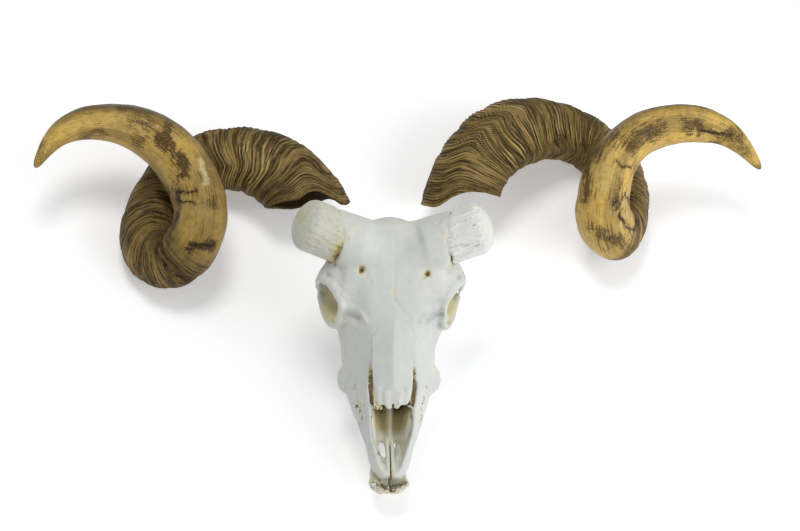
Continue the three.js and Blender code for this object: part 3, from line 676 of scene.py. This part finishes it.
# ---- the lower jaw ------------------------------------------------------------------------------------
# Two halves that meet at the chin without fusing. Each has a tall branch that hinges under the braincase, a
# row of six cheek teeth, and in front four narrow incisors that bite against the bare premaxillae.
FRONT_TEETH = 4
TEETH_ARC, TEETH_RADIUS = 1.25, 17.6  # the angle that one half's front teeth spread over, in radians
for name, side in SIDES:
    jaw = Carving(cast(f"jaw_{name}", f"mandible_{name}", 0.9), SKULL)
    x, y, z = jaw.at.T
    foramen = [(16 * side, 30, -19)]
    jaw.ease(0.5 - 0.35 * ramp(12, 4, y) * ramp(-14, -9, z), 24)
    jaw.welt([(36 * side, 205, -20), (40 * side, 190, -36), (33 * side, 170, -44)], 4, 0.9)
    jaw.welt(foramen, 2.2, -2)
    jaw.lift(0.12 * haze(jaw.at, 8, 41))
    jaw.dye("fat_and_shade", 0.35 * ramp(0.1, 0.8, haze(jaw.at, 30, 42)) + 0.4 * ramp(20, 8, y))
    jaw.dye("soil_and_shade", 0.5 * ramp(3, -1, y) * ramp(-14, -11, z))
    jaw.dye("soil_and_shade", 0.35 * ramp(14, 4, y) * ramp(0.1, 0.7, haze(jaw.at, 3, 43)))
    jaw.dye_line("soil_and_shade", foramen, 2, 0.8)
    jaw.finish(BONE)
    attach(jaw.piece, "root")
    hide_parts(f"mandible_{name}")

    front_teeth = []
    for i in range(FRONT_TEETH):
        turn = (i + 0.5) / FRONT_TEETH * TEETH_ARC
        out, back = TEETH_RADIUS * math.sin(turn), -5 + 12 * (1 - math.cos(turn))
        path = [(out * 0.9, back + 2.5, -12.5), (out, back - 1.6, -7.5), (out, back - 3.4, -3.4),
                (out * 0.98, back - 4.4, 0)]
        front_teeth.append((sideways(path, side), [(2, 2.2), (2.9, 2.8), (2.9, 2.2), (2.3, 1.2)]))
    teeth = Carving(cast(f"incisors_{name}", None, 0.3, front_teeth), SKULL)
    teeth.ease(0.5, 3)
    teeth.lift(0.15 * haze(teeth.at, 2.2, 44))
    teeth.dye("fat_and_shade", 0.35 + 0.3 * haze(teeth.at, 4, 45))
    stained = ramp(0.2, 0.7, haze(teeth.at, 2.4, 46))
    teeth.dye("soil_and_shade", 0.5 * stained + 0.35 * ramp(6, 2, np.abs(teeth.at[:, 0])))
    teeth.finish(BONE)
    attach(teeth.piece, "root")


# ---- the horn sheaths ---------------------------------------------------------------------------------
# Each is a hollow of horn, grown year by year from its open base: ringed and dark where it is young, worn
# smooth and golden towards the tip, with the old cracks, chips and scratches of a fighting animal.

# The middle line of each sheath, from its open end to its tip: x, y, z and radius in millimetres.
SHEATHS = {
    "right": [(-87, 76, 37, 36), (-114, 110, 43, 35), (-159, 126, 39, 29.5), (-206, 119, 25, 28.6),
              (-231, 84, 29, 27.8), (-250, 26, 22, 26.1), (-210, -4, 35, 25.9), (-182, 26, 82, 25.3),
              (-201, 84, 73, 26.4), (-234, 105, 105, 23.8), (-279, 124, 97, 18.4), (-329, 113, 98, 13),
              (-349, 74, 82, 3)],
    "left": [(60, 87, 33, 35.5), (76, 129, 55, 35.5), (111, 158, 60, 34.4), (158, 175, 42, 28.5),
             (201, 168, 24, 27), (227, 127, 26, 28.1), (221, 65, 24, 27.2), (192, 48, 67, 26.9),
             (192, 88, 105, 23.4), (220, 136, 101, 20.3), (265, 148, 112, 19.9), (318, 145, 106, 13.4),
             (349, 110, 90, 3.1)],
}
SHEATH_SHIFT = (0.2, 11.8, 0, 0)  # from where those points are drawn to the model's own middle
# How far the open rim is set back from the first point of the middle line, as angle and distance: it is drawn
# out into a tongue on one side and scooped on top and underneath.
OPENINGS = {
    "right": ((0, -21), (30, -25), (45, -26), (57, -25), (69, -13), (80, -4), (90, 0), (100, 2), (120, 1),
              (135, 7), (150, 14), (165, 20), (180, 25), (210, 30), (240, 27), (270, 15), (300, 6),
              (330, -2), (345, -11)),
    "left": ((0, 22), (36, 18.5), (54, 16.5), (69, 13.5), (80, 10.5), (90, 7.5), (99, 2.5), (108, -4),
             (117, -10), (126, -13), (135, -14), (160, -14), (185, -13), (200, -10), (216, -6), (234, 0),
             (249, 12), (270, 22), (300, 27), (327, 26)),
}
WALL = 3.2
HOLLOW = 0.27  # how deep it is hollow, as a share of its length
OUTER_ROWS, INNER_ROWS, TURNS = 930, 60, 98
YOUNG_ROWS, YOUNG = 0.62, 0.44  # the share of the outer rows that are laid over the ringed share of the horn

# The way the growth rings run round each horn: how far along it, in millimetres, one ring lies at the angles
# of RING_TURNS, at shares of the way to the tip.
RING_TURNS = (0, 23, 46, 67, 90, 109, 123, 137, 162, 200, 270, 320, 360)
RING_SHAPES = {
    "right": {0.07: (-6, -4, -1, 4, 3, 1, 0, 1.5, 6.8, 12, 14, 4, -6),
              0.12: (-6, -5, -3, -1, -1, -3, -6, -7, -2, 6, 10, 2, -6),
              0.17: (2, 2, 2, 2, 1.5, -1, -4.5, -8, -1, 5, 7, 4, 2),
              0.26: (4, 4, 4, 3, 1, -1, -3, -4, -2, 2, 5, 5, 4),
              0.36: (20, 16, 13, 9, 2, -2, -3, -4, -5, -5, 5, 15, 20),
              0.44: (20, 18, 16, 12, 6, 0, -2, -3, -4, -4, 5, 15, 20),
              0.54: (0,) * 13},
    "left": {0.06: (8, 4, 1, 0, 1, -1, -7, -12, -16, -16, 0, 8, 8),
             0.1: (2, -4, -6.8, -7.4, -4.3, 0, -5.6, -15, -18, -14, 0, 4, 2),
             0.15: (10, 8, 3, -1, -2, 0, -4, -12, -14, -10, 0, 8, 10),
             0.2: (14, 9, -2, -3, 0, 0, -2, -4, -6, -6, 4, 12, 14),
             0.26: (22, 17, 3, -2, -2, 0, -1, -2, -3, -3, 8, 18, 22),
             0.4: (12, 10, 4, 0, -2, 0, 0, -1, -2, -2, 4, 10, 12),
             0.54: (0,) * 13},
}


def spline(rows, share):
    """Points of the smooth curve that the rows draw, at shares of the way from the first to the last."""
    rows = np.array(rows, float) + SHEATH_SHIFT
    padded = np.vstack([2 * rows[0] - rows[1], rows, 2 * rows[-1] - rows[-2]])
    at = np.clip(share, 0, 1) * (len(rows) - 1)
    step = np.minimum(np.floor(at).astype(int), len(rows) - 2)
    f = (at - step)[:, None]
    weights = ((1 - f) ** 3, 3 * f**3 - 6 * f**2 + 4, -3 * f**3 + 3 * f**2 + 3 * f + 1, f**3)
    return sum(w * padded[step + k] / 6 for k, w in enumerate(weights))


def carried(rows, steps=240):
    """The directions across and above the middle line, carried along it without twist."""
    at = np.arange(steps + 1)
    ahead = spline(rows, (at + 1) / steps)[:, :3] - spline(rows, (at - 1) / steps)[:, :3]
    ahead /= np.linalg.norm(ahead, axis=1)[:, None]
    beside = np.zeros((steps + 1, 3))
    now = np.cross(ahead[0], (0, 0, 1))
    for i in range(steps + 1):
        now = now - ahead[i] * (now @ ahead[i])
        now = now / np.linalg.norm(now)
        beside[i] = now
    return beside, np.cross(beside, ahead), ahead


SECOND_DEGREES = np.arange(0, 361, 2)


def round_horn(turns, values):
    """Values told at a few angles round a horn, in degrees, as a soft curve told at every second degree."""
    curve = np.interp(SECOND_DEGREES, turns, values, period=360)
    weights = np.exp(-((np.arange(-3, 4) / 1.6) ** 2))
    return np.convolve(np.concatenate([curve[-4:-1], curve, curve[1:4]]), weights / weights.sum(), "valid")


def opening(name):
    return round_horn(*np.array(OPENINGS[name]).T)


def sheath_surface(name, turn, u, inner):
    """Points of the sheath's skin, and how far along the horn they are, as a share and in mm. turn is
    their angle round the horn, and u their share of the way from the rim."""
    rows = SHEATHS[name]
    centres = spline(rows, np.linspace(0, 1, 2000))[:, :3]
    length = np.linalg.norm(np.diff(centres, axis=0), axis=1).sum()
    edge = np.interp(np.degrees(turn), SECOND_DEGREES, opening(name)) / length
    # the hollow's mouth follows the rim, a wall's thickness inside it, and the hollow and the tip end round
    t = np.where(inner, u * HOLLOW, u) + edge * (1 - u)
    narrow = np.sqrt(np.where(inner, np.maximum(0, 1 - u * u), np.clip((1 - u) / 0.012, 0, 1)))
    past = np.maximum(0, -t * length)  # the tongue goes on straight, past the end of the middle line
    rowed = spline(rows, t)

    def at_share(values):
        shares = np.linspace(0, 1, len(values))
        return np.stack([np.interp(t, shares, column) for column in values.T], 1)

    beside, above, ahead = (at_share(values) for values in carried(rows))
    keel = 1 + 0.05 * np.cos(3 * (turn - 0.6 - 2 * t))
    underneath = fade(np.angle(np.exp(1j * (turn - 6.1))) / 0.8)
    waist = 0.22 * underneath * ramp(0.18, 0.3, t) * ramp(0.5, 0.42, t)
    reach = (np.maximum(rowed[:, 3], 4.5) - np.where(inner, WALL, 0)) * keel * narrow * (1 - 0.004 * past)
    reach = reach * (1 - waist * (name == "left") * ~inner)
    point = rowed[:, :3] + beside * (reach * np.cos(turn))[:, None] + above * (reach * np.sin(turn))[:, None]
    return point - ahead * past[:, None], t, t * length


def sheath(name):
    """One skin from the bottom of the hollow out over the rim to the tip."""
    rows = OUTER_ROWS + INNER_ROWS
    shape = bmesh.new()
    bmesh.ops.create_grid(shape, x_segments=rows, y_segments=TURNS, size=0.5)
    mesh = bpy.data.meshes.new(f"horn_{name}")
    shape.to_mesh(mesh)
    flat = np.empty(len(mesh.vertices) * 3)
    mesh.vertices.foreach_get("co", flat)
    grid = flat.reshape(-1, 3)
    row = np.rint((grid[:, 0] + 0.5) * rows)
    turn = (grid[:, 1] + 0.5) * 2 * math.pi
    inner = row < INNER_ROWS
    outer = np.interp((row - INNER_ROWS) / OUTER_ROWS, (0, YOUNG_ROWS, 1), (0, YOUNG, 1))
    u = np.where(inner, 1 - row / (INNER_ROWS - 1), outer)
    at, t, along = sheath_surface(name, turn, u, inner)
    mesh.vertices.foreach_set("co", (at * MM).ravel())
    for label, values in (("turn", turn), ("t", t), ("along", along), ("inner", inner)):
        mesh.attributes.new(label, "FLOAT", "POINT").data.foreach_set("value", values.astype(np.float32))
    shape.free()
    shape = bmesh.new()
    shape.from_mesh(mesh)
    bmesh.ops.remove_doubles(shape, verts=shape.verts, dist=2e-6)
    bmesh.ops.recalc_face_normals(shape, faces=shape.faces)
    shape.to_mesh(mesh)
    shape.free()
    return linked(f"horn_{name}", mesh)


def read(mesh, label):
    """The values of an attribute, which is then taken off the mesh."""
    held = mesh.attributes[label]
    values = np.empty(len(mesh.vertices), np.float32)
    held.data.foreach_get("value", values)
    mesh.attributes.remove(held)
    return values.astype(float)


TOP_COLUMN = 54  # of those told at every second degree


def ring_shape(name, turn, t):
    """How far along the horn the ring at share t of the way has moved by the angle turn."""
    shapes = {0: opening(name)}
    shapes |= {at: round_horn(RING_TURNS[:-1], moved[:-1]) for at, moved in RING_SHAPES[name].items()}
    table = np.array(list(shapes.values()))
    table -= table[:, TOP_COLUMN, None]  # every ring is told from where it crosses the top of the horn
    starts = np.array(list(shapes))
    row = np.clip(np.interp(t, starts, np.arange(len(starts))), 0, len(starts) - 1.001)
    column = np.clip(np.degrees(turn) / 2, 0, 179.999)
    i, j = row.astype(int), column.astype(int)
    f, g = row - i, column - j
    f = f * f * (3 - 2 * f)
    low = table[i, j] * (1 - g) + table[i, j + 1] * g
    high = table[i + 1, j] * (1 - g) + table[i + 1, j + 1] * g
    return low * (1 - f) + high * f


def horn_finish():
    """Horn keratin: dark and ringed near the base, with painted highlights on its ridges and painted shade in
    its grooves, golden and scratched beyond, and painted shade laid over where the shade attribute says.
    """
    material, tree, surface = new_material("horn", {"Specular IOR Level": 0.15})
    at = node(tree, "TexCoord").outputs["Object"]
    grown = node(tree, "Attribute", attribute_name="grown").outputs["Vector"]
    ringwise = node(tree, "Mapping", {0: grown, 3: (0.07, 0.07, 1)}).outputs[0]  # drawn out along the rings
    lengthwise = node(tree, "Mapping", {0: grown, 3: (1, 1, 0.14)}).outputs[0]  # drawn out along the horn
    lines = noise(tree, ringwise, 560, 2, 0.55)
    bands = noise(tree, ringwise, 90, 2, 0.5)
    streaks = noise(tree, lengthwise, 560, 4, 0.62)
    grit = noise(tree, at, 900, 3, 0.6)
    swathe = noise(tree, lengthwise, 60, 5, 0.55)
    blotch = effect(tree, PATCHES, Vector=at, Scale=38, Level=0.5, Blur=0.1)
    mottle = effect(tree, PATCHES, Vector=at, Scale=170, Level=0.5, Blur=0.1)
    ring, golden = stain(tree, "ring"), stain(tree, "gold")

    dirty = times(tree, stain(tree, "soot"), 0.22)
    ridge_highlight = maths(tree, "ADD", times(tree, ring, 0.7), 0.22)
    scratch = rise(tree, maths(tree, "ADD", streaks, dirty), 0.57, 0.68, 0.8)
    specks = rise(tree, maths(tree, "ADD", grit, dirty), 0.63, 0.71, 0.85)
    turned_gold = effect(tree, BROKEN, Vector=lengthwise, Scale=160, Share=golden)
    chipped = effect(tree, BROKEN, Vector=at, Scale=260, Share=stain(tree, "pale"))
    # umber, with every ridge painted pale as a highlight and every groove painted dark as shade
    ringed = layered(tree, (0.05, 0.029, 0.008), (
        (blotch, (0.105, 0.064, 0.016)),
        (times(tree, mottle, 0.7), (0.17, 0.106, 0.032)),
        (rise(tree, bands, 0.48, 0.64, 0.6), (0.33, 0.225, 0.066)),
        (times(tree, rise(tree, lines, 0.52, 0.61), ridge_highlight), (0.56, 0.4, 0.155)),
        (times(tree, ring, 0.95), (0.64, 0.46, 0.18)),
        (times(tree, rise(tree, lines, 0.47, 0.39), 0.75), (0.022, 0.012, 0.004)),
    ))
    # golden, olive where it is less rubbed, and scratched along its length
    gold = layered(tree, (0.7, 0.46, 0.115), (
        (blotch, (0.62, 0.43, 0.135)),
        (rise(tree, swathe, 0.46, 0.62, 0.62), (0.27, 0.185, 0.058)),
        (times(tree, mottle, 0.3), (0.25, 0.15, 0.036)),
        (scratch, (0.13, 0.075, 0.022)),
    ))
    colour = layered(tree, ringed, (
        (turned_gold, gold),
        (stain(tree, "shade"), (0.05, 0.033, 0.01)),
        (chipped, (0.6, 0.48, 0.24)),
        (specks, (0.06, 0.034, 0.014)),
        (stain(tree, "crack"), (0.02, 0.011, 0.005)),
    ))
    tree.links.new(colour, surface.inputs["Base Color"])
    gloss = node(tree, "MapRange", {0: golden, 3: 0.62, 4: 0.42}).outputs[0]
    tree.links.new(gloss, surface.inputs["Roughness"])
    young = maths(tree, "SUBTRACT", 1, times(tree, golden, 0.85))
    height = maths(tree, "ADD", times(tree, lines, young), times(tree, streaks, -0.5))
    bump = node(tree, "Bump", {"Strength": 0.75, "Distance": 0.0009, "Height": height})
    tree.links.new(bump.outputs[0], surface.inputs["Normal"])
    return material


# Old cracks in each sheath, as points on its skin, and the half-width and depth of each.
CRACKS = {
    "right": (
        ([(-214, 62, 90), (-205, 59, 96), (-197, 57, 101)], 1, 1.1),
        ([(-213, 55, 88), (-205, 50, 94), (-196, 46, 99)], 0.8, 0.8),
        ([(-214, 61, 90), (-212, 50, 88), (-212, 40, 84), (-216, 33, 77), (-219, 28, 73)], 1.1, 1.4),
        ([(-199, 13, 81), (-189, 10, 81), (-178, 13, 78)], 1.3, 1.6),
        ([(-204, 9, 76), (-195, 7, 79), (-186, 8, 78)], 0.9, 0.9),
        ([(-228, 30, 66), (-231, 16, 58), (-222, 2, 57), (-207, -7, 52), (-202, -8, 45)], 1.2, 1.3),
        ([(-228, 24, 63), (-226, 12, 62), (-216, 2, 62)], 0.9, 0.7),
    ),
    "left": (
        ([(202, 102, 123), (206, 98, 119.5), (216, 102, 113)], 0.7, 0.6),
        ([(207, 59, 91), (214, 58, 81), (221, 59, 70), (230, 67, 58), (230, 75, 60)], 1, 1.4),
        ([(212, 79, 102), (219, 77, 87), (222, 72, 77)], 0.9, 0.8),
        ([(199, 64, 103), (204, 70, 105)], 0.9, 0.9),
        ([(203, 62, 99), (208, 68, 101), (210, 75, 103)], 1, 1.2),
        ([(206, 60, 93), (211, 66, 96)], 0.9, 0.9),
        ([(286, 145, 119.5), (302, 145, 116.5), (317, 144, 114)], 0.8, 0.5),
    ),
}
# Dark blotches on the worn halves: points on the skin, reach and strength.
BLOTCHES = {
    "right": (
        ([(-231, 104, 119), (-223, 97, 114), (-213, 90, 109), (-208, 82, 104), (-207, 75, 101)], 4.5, 0.62),
        ([(-255, 121, 123), (-243, 115, 123), (-234, 108, 121)], 8, 0.38),
        ([(-198, -6, 39), (-205, -8, 46)], 7, 0.6),
        ([(-218, 66, 87), (-216, 38, 78)], 6, 0.4),
        ([(-188, 10, 81), (-178, 13, 76)], 5, 0.35),
        ([(-306, 114, 96), (-289, 117, 103)], 5, 0.45),
    ),
    "left": (
        ([(174, 76, 100), (175, 89, 106), (176, 107, 105)], 7, 0.65),
        ([(185, 118, 112), (188, 123, 116), (198, 131, 122)], 9, 0.5),
        ([(182, 51, 81), (187, 48, 81), (192, 46, 82)], 6, 0.5),
        ([(205, 82, 112), (200, 69, 106)], 4.5, 0.5),
        ([(216, 126, 123), (225, 135, 123), (235, 139, 122), (246, 144, 123)], 8, 0.42),
        ([(270, 148, 124), (279, 146, 121), (286, 145, 119)], 5.5, 0.6),
        ([(306, 141, 111), (321, 139, 109), (331, 135, 105)], 6.5, 0.48),
        ([(225, 135, 117), (240, 136, 118)], 6, 0.35),
        ([(202, 42, 69), (220, 45, 60)], 9, 0.3),
    ),
}
# Pale rubbed chips, told the same way.
CHIPS = {
    "right": (([(-194, 89, 105), (-189, 77, 104), (-187, 66, 103)], 3.5, 0.75), ([(-344, 78, 84)], 5, 0.6)),
    "left": (([(226, 62, 66), (228, 70, 62)], 4, 0.5), ([(186, 48, 81)], 1.6, 1),
             ([(349, 110, 90)], 9, 0.5)),
}

YEAR = 24  # how much horn a year adds, in millimetres
GIRTH = 28  # the radius that the grain is drawn at
HORN = horn_finish()
for seed, (name, side) in enumerate(SIDES):
    horn = Carving(sheath(name), Matrix.Scale(MM, 4))
    mesh = horn.piece.data
    turn, t, along, inner = (read(mesh, label) for label in ("turn", "t", "along", "inner"))
    skin = 1 - inner
    grown = along - ring_shape(name, turn, t) + 0.9 * haze(horn.at, 22, 51 + seed)
    drum = np.stack([np.cos(turn), np.sin(turn)], 1)
    # fine ridges of uneven strength, some run together, over the broad swells of each year's growth
    pitch = np.interp(t, (0, 0.07, 0.12), (2.3, 2.7, 3.5)) if side < 0 else 2.9
    even = np.cos(2 * math.pi * (grown / pitch + 0.35 * haze(horn.at, 10, 75)))
    ridge = haze(np.column_stack([1.4 * drum, grown / (0.55 * pitch)]), 1, 63 + seed)
    broad = haze(np.column_stack([0.9 * drum, grown / 5.2]), 1, 65 + seed)
    mixed_rings = 0.75 * even + 0.45 * ridge + 0.3 * broad
    crest = ramp(0.2, 1, mixed_rings)
    valley = ramp(-0.1, -1, mixed_rings)
    year = np.abs(np.sin(math.pi * (grown + 4 * haze(horn.at, 45, 57 + seed)) / YEAR))
    ringed = ramp(0.6, 0.44, t)
    bold = (0.65 + 0.45 * haze(horn.at, 30, 67 + seed)) * (0.4 + 0.6 * ramp(0, 0.08, t))
    if side > 0:
        ledge = np.radians(np.interp(t, (0, 0.1, 0.2, 0.3), (95, 110, 118, 130)))
        horn.lift(skin * 1.6 * fade((turn - ledge) / 0.2) * ramp(0.34, 0.2, t))
        low_band = fade((turn - np.radians(50)) / 0.35) * ramp(0.12, 0.18, t) * ramp(0.36, 0.28, t)
        bold = np.clip(bold + 0.8 * low_band, 0, 1.5)
    else:
        bold *= 0.45 + 0.55 * ramp(0.36, 0.26, t)
    horn.lift(skin * ringed * bold * (0.8 * crest - 0.45 * valley + 0.5 * broad))
    horn.lift(skin * ramp(0.72, 0.5, t) * (1.7 * np.sqrt(year) - 1.2) * ramp(0.02, 0.1, t))
    horn.lift(skin * (0.55 * haze(horn.at, 17, 58) + 0.25 * haze(horn.at, 6, 59)) * ramp(1, 0.85, t))
    horn.lift(skin * 0.7 * haze(horn.at, 4, 69) * ramp(0.02, 0, t + 0.004 * haze(horn.at, 7, 70)))
    # painted highlight: the crest of each ridge is dyed pale
    horn.dyes["ring"] = np.clip(ringed * np.clip(bold, 0.3, 1.2) * crest, 0, 1)
    horn.dyes["gold"] = skin * ramp(0.49, 0.6, t + 0.03 * haze(horn.at, 25, 60))
    horn.settle()

    # painted shade: darker where the skin turns from the camera, and more where it faces the top of the
    # camera's view, with broad darker patches at random; the right horn's golden part gets more, the left
    # horn less
    facing_camera = horn.out @ np.array((-0.1, -0.45, 0.88))
    away = horn.out @ np.array((-0.05, 0.87, 0.49))
    shade = 0.2 * ramp(0.4, -0.1, facing_camera) + 0.5 * ramp(0.72, 0.97, away)
    shade += 0.6 * ramp(0.25, 0.85, away) * (0.4 + 0.6 * ramp(0.45, 0.6, t))
    shade += 0.22 * ramp(-0.2, 0.7, haze(horn.at, 30, 71)) * ramp(0.7, 0.5, t)
    if side > 0:
        shade = 0.7 * shade - 0.35 * low_band
    else:
        shade += 0.36 * ramp(0.85, 0.6, t) * ramp(0.45, 0.6, t)
    # the skin takes that painted shade, and the whole inside of the hollow is painted dark as shade
    horn.dye("shade", skin * np.clip(shade, 0, 0.85) + 0.9 * inner)
    horn.dye("soot", skin * 0.6 * ramp(0.2, 0.8, haze(horn.at, 15, 61 + seed)) * ramp(0.45, 0.6, t))
    horn.dye("soot", skin * 0.6 * ramp(0.2, 0.7, haze(horn.at, 11, 73 + seed)) * ramp(0.6, 0.4, t))
    horn.dye("soot", skin * 0.5 * ramp(0.93, 1, t) * (side < 0))
    for line, width, depth in CRACKS[name]:
        horn.welt(line, width, -depth, 1.2)
        horn.dye_line("crack", line, width * 1.1, 1.3, 1.2)
        horn.dye_line("soot", line, width * 3, 0.7, 1.2)
    for line, width, share in BLOTCHES[name]:
        horn.dye_line("soot", line, width * 1.25, share * 1.5, 4)
    for line, width, share in CHIPS[name]:
        horn.dye_line("pale", line, width, share, 1.5)
    # the horn rolled out straight, which its grain is drawn on
    drawn = np.column_stack([GIRTH * drum, grown]) * MM
    held = mesh.attributes.new("grown", "FLOAT_VECTOR", "POINT")
    held.data.foreach_set("vector", drawn.astype(np.float32).ravel())
    horn.finish(HORN, ("ring", "gold", "soot", "pale", "shade", "crack"))
    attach(horn.piece, "root")
    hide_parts(f"horn_sheath_{name}")


# ---- the table, the light and the camera --------------------------------------------------------------
# A plain white table top under broad soft lamps, seen from in front of the nose and well above.
TABLE_REACH = 4  # from the middle to each edge, in metres
shape = bmesh.new()
bmesh.ops.create_grid(shape, x_segments=1, y_segments=1, size=TABLE_REACH)
table_top = bpy.data.meshes.new("table_top")
shape.to_mesh(table_top)
shape.free()
# white paper that is lit a little from below
table_top.materials.append(new_material("white_paper", {
    "Base Color": (0.9, 0.9, 0.905, 1), "Roughness": 0.95,
    "Emission Color": (1, 1, 1, 1), "Emission Strength": 0.3,
})[0])
floor = linked("table_top", table_top)

BACK = Vector((-0.0868, -0.4924, 0.866)).normalized()  # from what is looked at to the camera
RIGHT = Vector((0, 1, 0)).cross(BACK).normalized()
UP = BACK.cross(RIGHT)
TARGET = Vector((0.0002, 0.0118, 0.06))
DISTANCE = 2.6
VIEW_WIDTH = 0.76  # across what is seen, at the target
SENSOR = 36  # in millimetres
camera_data = bpy.data.cameras.new("camera")
camera_data.sensor_width = SENSOR
camera_data.lens = SENSOR * DISTANCE / VIEW_WIDTH
camera = linked("camera", camera_data)
turned = Matrix((RIGHT, UP, BACK)).transposed().to_4x4()
camera.matrix_world = Matrix.Translation(TARGET + BACK * DISTANCE) @ turned
bpy.context.scene.camera = camera


def lamp(name, place, size, power, colour):
    """A square lamp that faces the middle of the table."""
    data = bpy.data.lights.new(name, "AREA")
    data.shape = "SQUARE"
    data.size = size
    data.energy = power
    data.color = colour
    facing = Vector(place).to_track_quat("Z", "Y").to_matrix().to_4x4()
    linked(name, data).matrix_world = Matrix.Translation(place) @ facing


lamp("key", (-0.4, 0.5, 2.3), 0.7, 19, (1, 0.99, 0.97))
lamp("fill", (1.9, -0.9, 1.3), 2.2, 38, (0.97, 0.985, 1))
world = bpy.data.worlds.new("room")
world.use_nodes = True
backdrop = world.node_tree.nodes["Background"].inputs
backdrop["Color"].default_value = (0.95, 0.97, 1, 1)
backdrop["Strength"].default_value = 0.38
bpy.context.scene.world = world
bpy.context.scene.view_settings.view_transform = "Standard"
